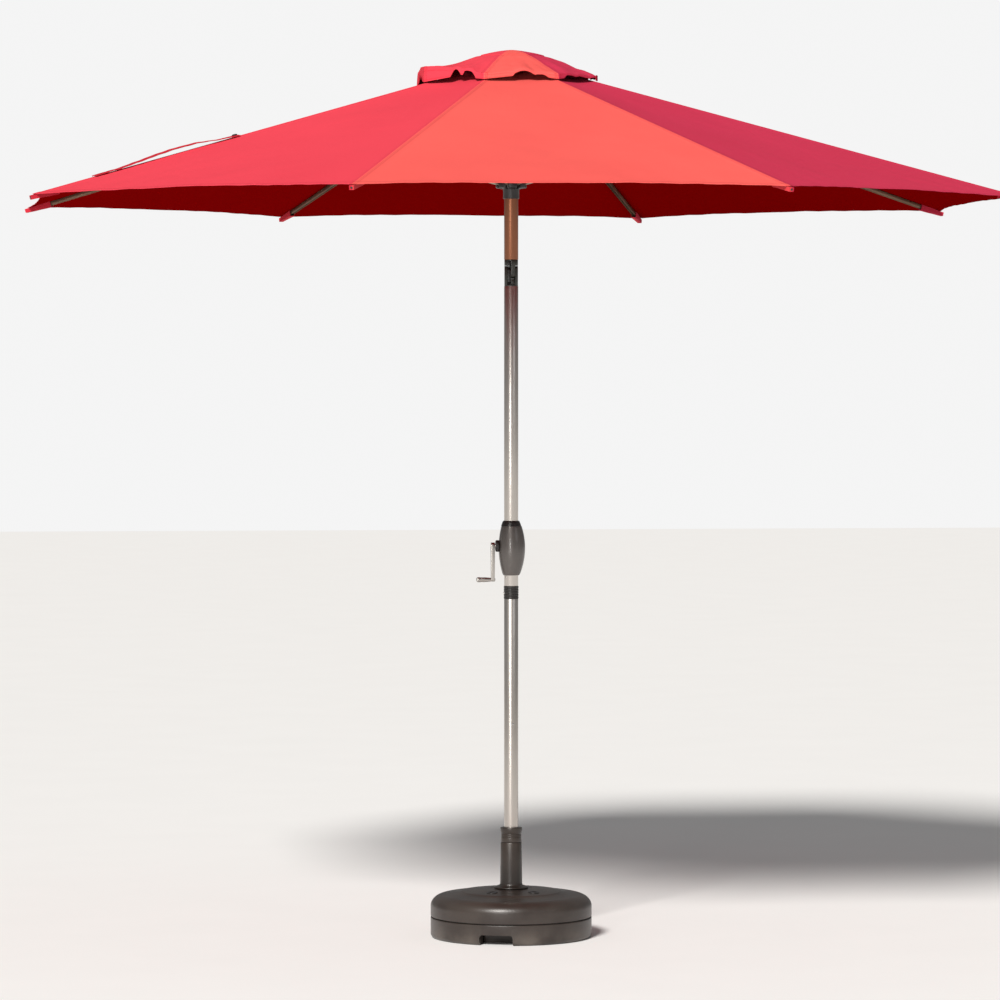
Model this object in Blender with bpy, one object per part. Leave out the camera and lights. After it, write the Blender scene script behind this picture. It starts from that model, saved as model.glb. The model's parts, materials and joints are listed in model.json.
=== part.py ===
"""A patio umbrella with a crank, a tilting head and a round weighted base.

Metres, +Z up. The origin is the middle of the base's flat underside, and the mast rises from it.
Eight ribs hang from a hub at the top of the mast. A runner slides on the mast, and a stretcher
joins it to each rib, so lowering the runner folds the canopy.
"""

import math

import bmesh
import bpy
from mathutils import Matrix, Vector

GAP = 0.0003  # between pieces that touch
TURN = 2 * math.pi
RIB_COUNT = 8
BAY = TURN / RIB_COUNT

# Mast
POLE_RADIUS = 0.0190
POLE_WALL = 0.0013
POLE_BORE = POLE_RADIUS - POLE_WALL
SPIGOT_RADIUS = POLE_BORE - GAP
POLE_FOOT_Z = 0.0105
COUPLER_Z = (0.9151, 0.9500)
COUPLER_RADIUS = 0.0200
RIVET_Z = 0.5770
RIVET_BEARING = math.radians(-83.6)
TILT_Z = 1.7950
TILT_JOINT_Z = (1.7595, 1.8303)
TILT_JOINT_RADIUS = 0.0185
POLE_TOP_Z = 2.3330

# Base
BASE_RADIUS = 0.2180
BASE_SEAM_Z = 0.0560
BASE_FLOOR = 0.0050
BASE_CAVITY_RADIUS = 0.1350
BALLAST_TOP_Z = 0.1000
BASE_SHOULDER = (0.1800, 0.0840)  # centre of the rounded top edge: radius, height
BASE_SHOULDER_RISE = 0.0315
BASE_CROWN_Z = 0.1320
BASE_STEPS = 48
GRIP_BEARING = math.radians(-107.6)
GRIP_WIDTH = 0.0910
GRIP_HEIGHT = 0.0280
GRIP_BACK = 0.1450  # from the axis to the hand hold's back wall

# Stem that the mast stands in
STEM_RADIUS = 0.0300
STEM_TOP_RADIUS = 0.0283
STEM_BORE = 0.0213
STEM_NECK_RADIUS = 0.0245
STEM_SHOULDER_Z = 0.2560
STEM_TOP_Z = 0.2860
COLLAR_TOP_Z = 0.2965
COLLAR_RADIUS = 0.0297

# Crank
CRANK_Z = 1.0580
CRANK_ARM = 0.0910  # shaft axis to knob axis
HOUSING_Z = (0.9790, 1.1260)
HOUSING_RADIUS = 0.0358
HOUSING_END_RADIUS = 0.0215
HOUSING_SHIFT = 0.0020  # the housing bulges away from the crank
HOUSING_WALL = 0.0025
HOUSING_RING_Z = 1.1120
SHAFT_RADIUS = 0.0040

# Head: hub, ribs, stretchers, runner
RIB_SLOPE = math.radians(15.5)  # below level, canopy open
CANOPY_APEX_Z = 2.3700
CANOPY_CORNER = 1.3850  # from the axis to a corner of the cloth
CANOPY_TOP_HEM = 0.0580
CLOTH = 0.0010
CLOTH_CLEARANCE = 0.0014  # over the middle of a rib, so that the cloth also clears its edges
RIB_REACH = 1.4000  # from the axis to a rib's tip
RIB_HEIGHT = 0.0160
RIB_WIDTH = 0.0120
RIB_WALL = 0.0012
RIB_PLUG = 0.0260  # solid end cap
HUB_PIVOT = 0.0400
HUB_RADIUS = 0.0470
RUNNER_PIVOT = (0.0340, 2.0350)  # radius, height, canopy open
RUNNER_RADIUS = 0.0420
BRACKET = (0.5700, -0.0050)  # along the rib, and across it, from the hub pivot
STRETCHER_HEIGHT = 0.0110
STRETCHER_WIDTH = 0.0080
HUB_Z = (
    CANOPY_APEX_Z
    - HUB_PIVOT * math.tan(RIB_SLOPE)
    - (CLOTH + CLOTH_CLEARANCE + RIB_HEIGHT / 2) / math.cos(RIB_SLOPE)
)
RIB_LENGTH = (RIB_REACH - HUB_PIVOT) / math.cos(RIB_SLOPE)

# Vent cap and strap
CAP_APEX_Z = 2.3890
CAP_CORNER = 0.2620
CAP_CLEARANCE = 0.0060  # over the canopy, at a corner
CAP_LIFT = 0.0220  # how far the skirt rises between two ribs
STRAP_RIB = 5
STRAP_REACH = (0.8200, 1.2300)
STRAP_WIDTH = 0.0300

ALONG_X = Matrix(((0, 0, 1), (1, 0, 0), (0, 1, 0))).to_4x4()  # a shape's X, Y, Z become Y, Z, X
ALONG_Y = Matrix.Rotation(math.pi / 2, 4, "X")  # a shape's Y, Z become Z, -Y


# ---------------------------------------------------------------- shapes


def arc(centre, radius, start, end, steps):
    """Points on a circle, or on an ellipse where radius is a pair, angles in degrees."""
    across, up = radius if isinstance(radius, tuple) else (radius, radius)
    angles = [math.radians(start + (end - start) * i / steps) for i in range(steps + 1)]
    return [(centre[0] + across * math.cos(a), centre[1] + up * math.sin(a)) for a in angles]


def finished(shape, matrix=None):
    """The bmesh as a mesh, faces out, sharp edges kept sharp and the rest smooth."""
    if matrix:
        bmesh.ops.transform(shape, matrix=matrix, verts=shape.verts)
    bmesh.ops.recalc_face_normals(shape, faces=shape.faces)
    mesh = bpy.data.meshes.new("shape")
    shape.to_mesh(mesh)
    shape.free()
    mesh.shade_smooth()
    mesh.set_sharp_from_angle(angle=math.radians(32))
    return mesh


def turned(profile, steps=24, matrix=None):
    """A closed outline of (radius, height) points turned about Z."""
    shape = bmesh.new()
    ring = [shape.verts.new((radius, 0, height)) for radius, height in profile]
    edges = [shape.edges.new((ring[i - 1], ring[i])) for i in range(len(ring))]
    bmesh.ops.spin(
        shape, geom=ring + edges, cent=(0, 0, 0), axis=(0, 0, 1), angle=TURN, steps=steps, use_merge=True
    )
    bmesh.ops.remove_doubles(shape, verts=shape.verts, dist=1e-6)
    # an outline's edge that runs along the axis turns into nothing
    bmesh.ops.delete(shape, geom=[e for e in shape.edges if not e.link_faces], context="EDGES")
    return finished(shape, matrix)


def tube(outer, inner, low, high, steps=24):
    return turned([(inner, low), (outer, low), (outer, high), (inner, high)], steps)


def prism(outline, low, high, matrix=None):
    """A closed outline of (x, y) points extruded from z = low to z = high."""
    shape = bmesh.new()
    face = shape.faces.new([shape.verts.new((x, y, low)) for x, y in outline])
    grown = bmesh.ops.extrude_face_region(shape, geom=[face])["geom"]
    top = [v for v in grown if isinstance(v, bmesh.types.BMVert)]
    bmesh.ops.translate(shape, verts=top, vec=(0, 0, high - low))
    return finished(shape, matrix)


def box(low, high):
    corners = [(low[0], low[1]), (high[0], low[1]), (high[0], high[1]), (low[0], high[1])]
    return prism(corners, low[2], high[2])


def rod(radius, low, high, matrix=None, steps=16):
    """A plain round bar or a drill, along Z before the matrix."""
    return turned([(0, low), (radius, low), (radius, high), (0, high)], steps, matrix)


def between(front, back):
    """The closed solid between two grids of points that have the same rows and columns."""
    shape = bmesh.new()
    sides = [[[shape.verts.new(point) for point in row] for row in grid] for grid in (front, back)]
    last_row, last_column = len(front) - 1, len(front[0]) - 1
    for side in sides:
        for i in range(last_row):
            for j in range(last_column):
                shape.faces.new((side[i][j], side[i][j + 1], side[i + 1][j + 1], side[i + 1][j]))
    rim = [(0, j) for j in range(last_column)]
    rim += [(i, last_column) for i in range(last_row)]
    rim += [(last_row, j) for j in range(last_column, 0, -1)]
    rim += [(i, 0) for i in range(last_row, 0, -1)]
    for here, following in zip(rim, rim[1:] + rim[:1]):
        corners = [side[i][j] for side in sides for i, j in (here, following)]
        shape.faces.new((corners[0], corners[1], corners[3], corners[2]))
    return finished(shape)


def combined(operation, mesh, *tools):
    """The mesh with each tool mesh joined to it (UNION), cut from it (DIFFERENCE) or kept (INTERSECT)."""
    scene = bpy.context.scene.collection
    body = bpy.data.objects.new("body", mesh)
    scene.objects.link(body)
    helpers = []
    for tool in tools:
        helper = bpy.data.objects.new("tool", tool)
        scene.objects.link(helper)
        helpers.append(helper)
        step = body.modifiers.new("cut", "BOOLEAN")
        step.operation = operation
        step.object = helper
    bpy.context.view_layer.update()
    result = bpy.data.meshes.new_from_object(body.evaluated_get(bpy.context.evaluated_depsgraph_get()))
    for helper in [body] + helpers:
        bpy.data.objects.remove(helper)
    result.shade_smooth()
    result.set_sharp_from_angle(angle=math.radians(32))
    return result


def stadium(reach, radii, steps=8):
    """The outline round two circles on the X axis, at 0 and at reach."""
    lean = math.degrees(math.acos((radii[0] - radii[1]) / reach))
    far = arc((reach, 0), radii[1], -lean, lean, steps)
    return far + arc((0, 0), radii[0], lean, 360 - lean, steps)


# ---------------------------------------------------------------- objects


def clear_scene():
    for old in list(bpy.data.objects):
        bpy.data.objects.remove(old, do_unlink=True)


def material(name, colour, roughness, metallic=0.0):
    made = bpy.data.materials.new(name)
    made.use_nodes = True
    surface = made.node_tree.nodes["Principled BSDF"]
    surface.inputs["Base Color"].default_value = (*colour, 1)
    surface.inputs["Roughness"].default_value = roughness
    surface.inputs["Metallic"].default_value = metallic
    made.diffuse_color = (*colour, 1)
    return made


def place(name, mesh, look, parent=None, location=(0, 0, 0), rotation=(0, 0, 0)):
    piece = bpy.data.objects.new(name, mesh)
    bpy.context.scene.collection.objects.link(piece)
    if not mesh.materials:
        mesh.materials.append(look)
    piece.parent = parent
    piece.location = location
    piece.rotation_euler = rotation
    return piece


def joint(name, parent=None, location=(0, 0, 0), rotation=(0, 0, 0)):
    """An empty on a joint's axis, which carries what the joint moves."""
    empty = bpy.data.objects.new(name, None)
    bpy.context.scene.collection.objects.link(empty)
    empty.empty_display_size = 0.05
    empty.parent = parent
    empty.location = location
    empty.rotation_euler = rotation
    return empty


# ---------------------------------------------------------------- base


def grip_cutter(bearing):
    """The space of one hand hold: an arch on the floor, running out through the rim."""
    half = GRIP_WIDTH / 2
    corner = 0.008
    outline = [(-half, -0.01), (half, -0.01)]
    outline += arc((half - corner, GRIP_HEIGHT - corner), corner, 0, 90, 4)
    outline += arc((corner - half, GRIP_HEIGHT - corner), corner, 90, 180, 4)
    return prism(outline, GRIP_BACK, BASE_RADIUS + 0.02, Matrix.Rotation(bearing, 4, "Z") @ ALONG_X)


def make_base(look):
    plastic, weight = look["base"], look["ballast"]
    edge = 0.0025
    rim, seam = BASE_RADIUS, BASE_SEAM_Z
    lower = [(0, 0)] + arc((rim - 0.010, 0.010), 0.010, -90, 0, 4)
    lower += [(rim, seam - edge), (rim - edge, seam - GAP / 2), (BASE_CAVITY_RADIUS, seam - GAP / 2)]
    lower += [(BASE_CAVITY_RADIUS, BASE_FLOOR), (0, BASE_FLOOR)]
    shell = turned(lower, BASE_STEPS)
    grips = [grip_cutter(GRIP_BEARING), grip_cutter(GRIP_BEARING + math.pi)]
    place("base_lower", combined("DIFFERENCE", shell, *grips), plastic)

    stem_hole = STEM_RADIUS + GAP
    width = rim - BASE_SHOULDER[0]
    upper = [(BASE_CAVITY_RADIUS, seam + GAP / 2), (rim - edge, seam + GAP / 2), (rim, seam + edge)]
    upper += arc(BASE_SHOULDER, (width, BASE_SHOULDER_RISE), 0, 90, 6)
    upper += [(0.110, 0.1255), (0.050, 0.1312), (stem_hole, BASE_CROWN_Z), (stem_hole, 0.1200)]
    upper += [(0.115, 0.1130), (BASE_CAVITY_RADIUS, 0.1020)]
    place("base_upper", turned(upper, BASE_STEPS), plastic)

    fill = tube(BASE_CAVITY_RADIUS - 0.0005, stem_hole + 0.0005, BASE_FLOOR + 0.0005, BALLAST_TOP_Z)
    place("base_ballast", fill, weight)

    foot = BASE_FLOOR + 0.0010
    stem = [(0, foot), (STEM_RADIUS, foot), (STEM_RADIUS, 0.1500), (STEM_TOP_RADIUS, STEM_SHOULDER_Z)]
    stem += [(STEM_NECK_RADIUS, STEM_SHOULDER_Z + 0.0005), (STEM_NECK_RADIUS, STEM_TOP_Z)]
    stem += [(STEM_BORE, STEM_TOP_Z), (STEM_BORE, POLE_FOOT_Z - GAP), (0, POLE_FOOT_Z - GAP)]
    place("base_stem", turned(stem), plastic)

    flange = [(stem_hole, 0.1325), (0.0460, 0.1325), (0.0460, 0.1350), (0.0420, 0.1385)]
    flange += [(0.0340, 0.1395), (stem_hole, 0.1440)]
    place("stem_flange", turned(flange), plastic)
    sleeve = tube(STEM_BORE - GAP, POLE_RADIUS + GAP, 0.1600, STEM_TOP_Z - 0.0005)
    place("grip_sleeve", sleeve, look["rubber"])


def make_collar(look):
    """The clamp ring on the stem's neck. Turning it grips or frees the mast."""
    bottom, bore = STEM_SHOULDER_Z + 0.0012, STEM_NECK_RADIUS + GAP
    outline = [(bore, bottom), (STEM_TOP_RADIUS, bottom), (0.0274, 0.2665)]
    for groove in (0.2720, 0.2790):
        outline += [(0.0274, groove - 0.0012), (0.0266, groove), (0.0274, groove + 0.0012)]
    outline += [(COLLAR_RADIUS, 0.2885), (COLLAR_RADIUS, 0.2940), (COLLAR_RADIUS - 0.002, COLLAR_TOP_Z)]
    outline += [(POLE_RADIUS + 0.0007, COLLAR_TOP_Z), (POLE_RADIUS + 0.0007, STEM_TOP_Z + 0.0008)]
    outline += [(bore, STEM_TOP_Z + 0.0008)]
    outline = [(radius, height - bottom) for radius, height in outline]
    place("stem_collar", turned(outline), look["base"], location=(0, 0, bottom))


# ---------------------------------------------------------------- mast


def make_mast(look, mast):
    """The two lower tubes, the coupler that joins them, and the button that locks it."""
    metal = look["pole"]
    lower = tube(POLE_RADIUS, POLE_BORE, POLE_FOOT_Z, COUPLER_Z[0] - GAP)
    across = Matrix.Rotation(RIVET_BEARING, 4, "Z") @ ALONG_X
    drill = rod(0.0023, 0.010, 0.030, Matrix.Translation((0, 0, RIVET_Z)) @ across)
    place("lower_pole", combined("DIFFERENCE", lower, drill), metal, mast)
    head = [(0, 0.0165), (0.0020, 0.0165), (0.0020, 0.0193), (0.0036, 0.0193), (0.0028, 0.0203), (0, 0.0205)]
    place("pole_rivet", turned(head, 12, across), look["steel"], mast, (0, 0, RIVET_Z))

    low, high = COUPLER_Z
    bore, foot, top = 0.0155, low - 0.080, high + 0.035
    coupler = [(bore, foot), (SPIGOT_RADIUS, foot), (SPIGOT_RADIUS, low), (COUPLER_RADIUS, low)]
    coupler += [(COUPLER_RADIUS, high), (SPIGOT_RADIUS, high), (SPIGOT_RADIUS, top), (bore, top)]
    snap_z = low + 0.0150
    drill = rod(0.0036, -0.030, -0.010, Matrix.Translation((0, 0, snap_z)) @ ALONG_X)
    place("pole_coupler", combined("DIFFERENCE", turned(coupler), drill), look["dark"], mast)
    snap = [(0, -0.0218), (0.0020, -0.0215), (0.0032, -0.0204), (0.0032, -0.0142), (0.0046, -0.0140)]
    snap += [(0.0046, -0.0128), (0, -0.0128)]
    place("snap_button", turned(snap, 16, ALONG_X), look["steel"], mast, (0, 0, snap_z))

    middle = tube(POLE_RADIUS, POLE_BORE, high + GAP, TILT_JOINT_Z[0] - GAP)
    at_crank = Matrix.Translation((0, 0, CRANK_Z)) @ ALONG_X
    drills = [rod(SHAFT_RADIUS + 0.0008, -0.030, 0, at_crank), rod(0.0128, 0, 0.030, at_crank)]
    place("mid_pole", combined("DIFFERENCE", middle, *drills), metal, mast)


def housing_radius(height):
    """(radius, how far the middle is shifted) of the housing at a height."""
    share = (height - HOUSING_Z[0]) / (HOUSING_Z[1] - HOUSING_Z[0])
    bulge = math.sin(math.pi * share) ** 0.75 if 0 < share < 1 else 0
    return HOUSING_END_RADIUS + (HOUSING_RADIUS - HOUSING_END_RADIUS) * bulge, HOUSING_SHIFT * bulge


def housing_half(side):
    """Half of the crank housing's shell: side is 1 for the back half and -1 for the front half."""
    rows, columns = 9, 12
    snug = POLE_RADIUS + 0.0005
    around = [math.pi * j / columns for j in range(columns + 1)]

    def half_ring(radius, shift, height):
        return [
            Vector((shift + radius * math.cos(a), side * (radius * math.sin(a) + GAP / 2), height))
            for a in around
        ]

    outer, inner = [], []
    for i in range(rows + 1):
        height = HOUSING_Z[0] + (HOUSING_RING_Z - GAP - HOUSING_Z[0]) * i / rows
        radius, shift = housing_radius(height)
        hollow = radius - HOUSING_WALL
        outer.append(half_ring(radius, shift, height))
        inner.append(half_ring(hollow, shift, height) if hollow > snug else half_ring(snug, 0, height))
    shell = between(outer, inner)
    hole = rod(SHAFT_RADIUS + 0.0008, -0.050, -0.025, Matrix.Translation((0, 0, CRANK_Z)) @ ALONG_X)
    return combined("DIFFERENCE", shell, hole)


def make_housing(look, mast):
    shell = look["housing"]
    place("housing_front", housing_half(-1), shell, mast)
    back = housing_half(1)
    backward = Matrix.Rotation(-math.pi / 2, 4, "X")
    screw = [(0, -0.0060), (0.0016, -0.0060), (0.0016, 0.0008)]
    screw += [(0.0034, 0.0008), (0.0028, 0.0020), (0, 0.0022)]
    for name, height in (("housing_screw_low", 1.0080), ("housing_screw_high", 1.0950)):
        surface = housing_radius(height)[0]
        at = Matrix.Translation((0, 0, height)) @ backward
        back = combined("DIFFERENCE", back, rod(0.0020, surface - 0.01, surface + 0.01, at, 12))
        place(name, turned(screw, 12, backward), look["steel"], mast, (0, surface + GAP / 2, height))
    place("housing_back", back, shell, mast)

    heights = [HOUSING_RING_Z + (HOUSING_Z[1] - HOUSING_RING_Z) * i / 4 for i in range(5)]
    ring = [(POLE_RADIUS + GAP, heights[0])] + [(housing_radius(z)[0], z) for z in heights]
    ring += [(POLE_RADIUS + GAP, heights[-1])]
    place("housing_ring", turned(ring), look["dark"], mast)
    face = HOUSING_SHIFT - HOUSING_RADIUS - 0.0004
    bushing = [(SHAFT_RADIUS + 0.0004, face - 0.0083), (0.0140, face - 0.0083), (0.0160, face - 0.0065)]
    bushing += [(0.0160, face), (SHAFT_RADIUS + 0.0004, face)]
    place("crank_bushing", turned(bushing, 20, ALONG_X), look["dark"], mast, (0, 0, CRANK_Z))


def make_crank(look, mast):
    crank = joint("crank_axis", mast, (0, 0, CRANK_Z))
    inner_face, outer_face = -0.0450, -0.0549
    shaft = [(0, outer_face + GAP), (SHAFT_RADIUS, outer_face + GAP), (SHAFT_RADIUS, -0.0130)]
    shaft += [(0.0112, -0.0130), (0.0112, -0.0115), (0.0080, -0.0112), (0.0080, 0.0112), (0.0112, 0.0115)]
    shaft += [(0.0112, 0.0130), (0.0035, 0.0130), (0.0035, 0.0165), (0, 0.0165)]
    place("crank_shaft", turned(shaft, 16, ALONG_X), look["steel"], crank)

    # the arm hangs straight down from the shaft at rest
    down = ALONG_X @ Matrix.Rotation(-math.pi / 2, 4, "Z")
    arm = prism(stadium(CRANK_ARM, (0.0095, 0.0050)), outer_face, inner_face, down)
    knob_at = Vector((0, 0, -CRANK_ARM))
    drills = [rod(SHAFT_RADIUS + GAP, -0.06, -0.04, ALONG_X)]
    drills += [rod(0.0028, -0.06, -0.04, Matrix.Translation(knob_at) @ ALONG_X)]
    place("crank_arm", combined("DIFFERENCE", arm, *drills), look["crank"], crank)
    pin = [(0, -0.0930), (0.0025, -0.0930), (0.0025, inner_face + GAP), (0.0042, inner_face + GAP)]
    pin += [(0.0036, inner_face + 0.0016), (0, inner_face + 0.0016)]
    place("crank_pin", turned(pin, 16, ALONG_X), look["steel"], crank, knob_at)

    knob = [(0.0028, outer_face - 0.0006), (0.0048, outer_face - 0.0006), (0.0056, outer_face - 0.0020)]
    knob += [(0.0068, -0.0780)] + arc((0.0023, -0.0895), 0.0050, 0, -90, 4)
    knob += [(0, -0.0945), (0, -0.0933), (0.0028, -0.0933)]
    place("crank_knob", turned(knob, 16, ALONG_X), look["crank"], crank, knob_at)


# ---------------------------------------------------------------- tilt joint


def make_tilt(look, mast, head):
    """A fork on the mast and a tongue on the head. The wide gap beside the tongue holds the release."""
    low, high = TILT_JOINT_Z
    radius = TILT_JOINT_RADIUS
    gap_left, tongue_left, tongue_right, gap_right = -0.0120, -0.0022, 0.0087, 0.0090
    cheek_top = radius - 0.0002
    pivot = Matrix.Translation((0, 0, TILT_Z)) @ ALONG_X
    drill = rod(0.0030, -0.03, 0.03, pivot)

    stub = [(0, low - 0.060), (SPIGOT_RADIUS, low - 0.060), (SPIGOT_RADIUS, low), (radius, low)]
    fork = turned(stub + [(radius, TILT_Z + 0.0300), (0, TILT_Z + 0.0300)])
    above = box((-0.03, -0.03, TILT_Z), (0.03, 0.03, TILT_Z + 0.04))
    above = combined("DIFFERENCE", above, rod(cheek_top, -0.04, 0.04, pivot, 40))
    fork = combined("DIFFERENCE", fork, above)
    slot = box((gap_left, -0.03, low + 0.0030), (gap_right, 0.03, TILT_Z + 0.03))
    fork = combined("DIFFERENCE", fork, slot, drill)
    place("tilt_fork", fork, look["joint"], mast)
    place("tilt_pin", rod(0.0027, -0.0176, 0.0176, ALONG_X), look["steel"], mast, (0, 0, TILT_Z))

    def up(height):
        return height - TILT_Z

    roof = TILT_Z + radius + 0.0006
    top = [(0, up(roof)), (radius, up(roof)), (radius, up(high)), (SPIGOT_RADIUS, up(high))]
    top += [(SPIGOT_RADIUS, up(high) + 0.050), (0, up(high) + 0.050)]
    half = 0.0160
    outline = arc((0, 0), half, 180, 360, 12) + [(half, up(roof) + 0.002), (-half, up(roof) + 0.002)]
    tongue = prism(outline, tongue_left, tongue_right, ALONG_X)
    tongue = combined("UNION", turned(top), tongue)
    notch = box((gap_left, -0.03, 0), (tongue_left, 0.03, up(high) - 0.0025))
    tongue = combined("DIFFERENCE", tongue, notch, rod(0.0030, -0.03, 0.03, ALONG_X))
    place("tilt_tongue", tongue, look["joint"], head)

    width = tongue_left - gap_left - 0.0012
    middle = (gap_left + tongue_left) / 2
    face, back = -0.0145, -0.0088  # the face is flush, so that the runner slides past it
    outline = [(face, -0.0250), (back, -0.0290), (back, 0.0120), (face, 0.0080)]
    button = prism(outline, middle - width / 2, middle + width / 2, ALONG_X)
    place("tilt_button", button, look["dark"], mast, (0, 0, TILT_Z))


# ---------------------------------------------------------------- head


def make_top(look, head):
    """Upper pole, pulley, hub, hinge wire and crown, in the head's frame."""
    base = TILT_Z
    upper = tube(POLE_RADIUS, POLE_BORE, TILT_JOINT_Z[1] + GAP - base, POLE_TOP_Z - base)
    pulley_z = POLE_TOP_Z - 0.030 - base
    across = Matrix.Translation((0, 0, pulley_z)) @ ALONG_X
    window = box((-0.0050, -0.03, pulley_z - 0.030), (0.0050, 0, pulley_z - 0.008))
    upper = combined("DIFFERENCE", upper, rod(0.0024, -0.03, 0.03, across, 16), window)
    place("upper_pole", upper, look["pole"], head)
    sheave = [(0, -0.0187), (0.0020, -0.0187), (0.0020, -0.0045), (0.0125, -0.0045), (0.0125, -0.0035)]
    sheave += [(0.0095, -0.0010), (0.0095, 0.0010), (0.0125, 0.0035), (0.0125, 0.0045), (0.0020, 0.0045)]
    sheave += [(0.0020, 0.0187), (0, 0.0187)]
    place("pulley", turned(sheave, 16, ALONG_X), look["dark"], head, (0, 0, pulley_z))

    hub_z = HUB_Z - base
    pole_end, top = POLE_TOP_Z + GAP - base, hub_z + 0.0096
    groove = 0.0024
    outline = [(0, pole_end), (POLE_RADIUS + GAP, pole_end), (POLE_RADIUS + GAP, pole_end - 0.016)]
    outline += [(0.0260, pole_end - 0.016), (0.0265, hub_z - 0.0120)]
    outline += [(HUB_RADIUS, hub_z - 0.0100), (HUB_RADIUS, top)]
    outline += [(HUB_PIVOT + groove, top), (HUB_PIVOT + groove, hub_z - 0.0022)]
    outline += [(HUB_PIVOT - groove, hub_z - 0.0022), (HUB_PIVOT - groove, top), (0, top)]
    slots = slot_cutters(0.0290, RIB_WIDTH / 2 + 0.0005, hub_z - 0.02, hub_z + 0.02)
    place("top_hub", combined("DIFFERENCE", turned(outline, 32), *slots), look["dark"], head)
    wire = [(HUB_PIVOT + x, hub_z + y) for x, y in arc((0, 0), 0.0015, 0, 360, 6)[:-1]]
    place("hub_wire", turned(wire, 48), look["steel"], head)
    crown = [(0, top + GAP), (0.0450, top + GAP), (0.0450, top + 0.0025), (0.0260, top + 0.0045)]
    crown += arc((0, top + 0.0045), (0.0240, 0.0180), 0, 90, 5)
    place("crown_cap", turned(crown), look["dark"], head)


def slot_cutters(root, half_width, low, high):
    """Eight radial slots, open to the outside."""
    cutters = [box((root, -half_width, low), (0.08, half_width, high)) for _ in range(RIB_COUNT)]
    for k, cutter in enumerate(cutters):
        cutter.transform(Matrix.Rotation(BAY * (k + 0.5), 4, "Z"))
    return cutters


def make_runner(look, head):
    """The sliding collar, whose crown has a slot for each stretcher."""
    bore, sleeve = POLE_RADIUS + 0.0006, 0.0220
    outline = [(bore, -0.0410), (sleeve - 0.001, -0.0410), (sleeve, -0.0400), (sleeve, -0.0150)]
    outline += [(RUNNER_RADIUS - 0.002, -0.0120), (RUNNER_RADIUS, -0.0100), (RUNNER_RADIUS, 0.0090)]
    outline += [(RUNNER_RADIUS - 0.002, 0.0110), (bore, 0.0110)]
    slots = slot_cutters(0.0255, STRETCHER_WIDTH / 2 + 0.0008, -0.0300, 0.0300)
    runner = combined("DIFFERENCE", turned(outline, 32), *slots)
    place("runner", runner, look["dark"], head, (0, 0, RUNNER_PIVOT[1] - TILT_Z))


def rib_mesh():
    """A channel open underneath. It has a plugged tip, a hole for the hinge wire and the stretcher's pin."""
    half = RIB_HEIGHT / 2
    side = arc((0, 0), half, 90, 270, 6)
    side += arc((RIB_LENGTH - 0.003, 0), (0.003, half), -90, 90, 4)
    bar = prism(side, -RIB_WIDTH / 2, RIB_WIDTH / 2, ALONG_Y)
    inside = RIB_WIDTH / 2 - RIB_WALL
    channel = box((-0.02, -inside, -0.02), (RIB_LENGTH - RIB_PLUG, inside, half - RIB_WALL))
    bar = combined("DIFFERENCE", bar, channel, rod(0.0022, -0.02, 0.02, ALONG_Y, 8))
    at = Matrix.Translation((BRACKET[0], 0, BRACKET[1]))
    pin_end = RIB_WIDTH / 2 + 0.0006
    return combined("UNION", bar, rod(0.0025, -pin_end, pin_end, at @ ALONG_Y, 10))


def stretcher_mesh(length):
    """A flat bar from its hole on the rib's pin to its hole at the runner."""
    half = STRETCHER_HEIGHT / 2
    bar = prism(stadium(length, (half, half), 4), -STRETCHER_WIDTH / 2, STRETCHER_WIDTH / 2, ALONG_Y)
    far = Matrix.Translation((length, 0, 0))
    holes = [rod(0.0030, -0.02, 0.02, ALONG_Y, 10), rod(0.0021, -0.02, 0.02, far @ ALONG_Y, 8)]
    return combined("DIFFERENCE", bar, *holes)


def cloth_height(reach):
    """Height of the open canopy's upper face over a rib, at a distance from the axis."""
    return CANOPY_APEX_Z - reach * math.tan(RIB_SLOPE)


def on_panel(reach, across, height, trim=0.0):
    """A point of the flat cloth beside a rib, in the frame of its hub pivot.

    across runs from -1, the middle of one bay, through 0, the rib, to 1, the middle of the next.
    """
    middle = reach * math.cos(BAY / 2)
    share = abs(across)
    x = reach * (1 - share) + middle * math.cos(BAY / 2) * share + trim * math.sin(BAY / 2) * share
    y = across * (middle * math.sin(BAY / 2) - trim * math.cos(BAY / 2))
    return Vector((x - HUB_PIVOT, y, height - HUB_Z))


def panel_mesh():
    """The cloth that one rib carries, from the middle of one bay to the middle of the next."""
    reaches = [CANOPY_TOP_HEM + (CANOPY_CORNER - CANOPY_TOP_HEM) * i / 5 for i in range(6)]
    steps = (-1, -0.5, 0, 0.5, 1)

    def face(drop):
        return [[on_panel(r, t, cloth_height(r) - drop, GAP / 2) for t in steps] for r in reaches]

    return between(face(0), face(CLOTH))


def strap_mesh():
    """The tie that lies on one rib's ridge and goes round the folded canopy."""
    reaches = [STRAP_REACH[0] + (STRAP_REACH[1] - STRAP_REACH[0]) * i / 4 for i in range(5)]
    grids = []
    for lift in (0.0020, 0.0006):
        rows = []
        for r in reaches:
            edge = STRAP_WIDTH / 2 / (r * math.cos(BAY / 2) * math.sin(BAY / 2))
            rows.append([on_panel(r, t, cloth_height(r) + lift) for t in (-edge, 0, edge)])
        grids.append(rows)
    return between(*grids)


def cap_height(reach, bearing):
    """Upper face of the vent cap: down to the canopy at each rib, puffed up between two ribs."""
    share = reach / CAP_CORNER
    corner = cloth_height(CAP_CORNER) + CAP_CLEARANCE
    ridge = CAP_APEX_Z - share**1.35 * (CAP_APEX_Z - corner)
    between_ribs = abs(math.sin((bearing - BAY / 2) * RIB_COUNT / 2))
    return ridge + CAP_LIFT * share**2 * between_ribs


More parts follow.
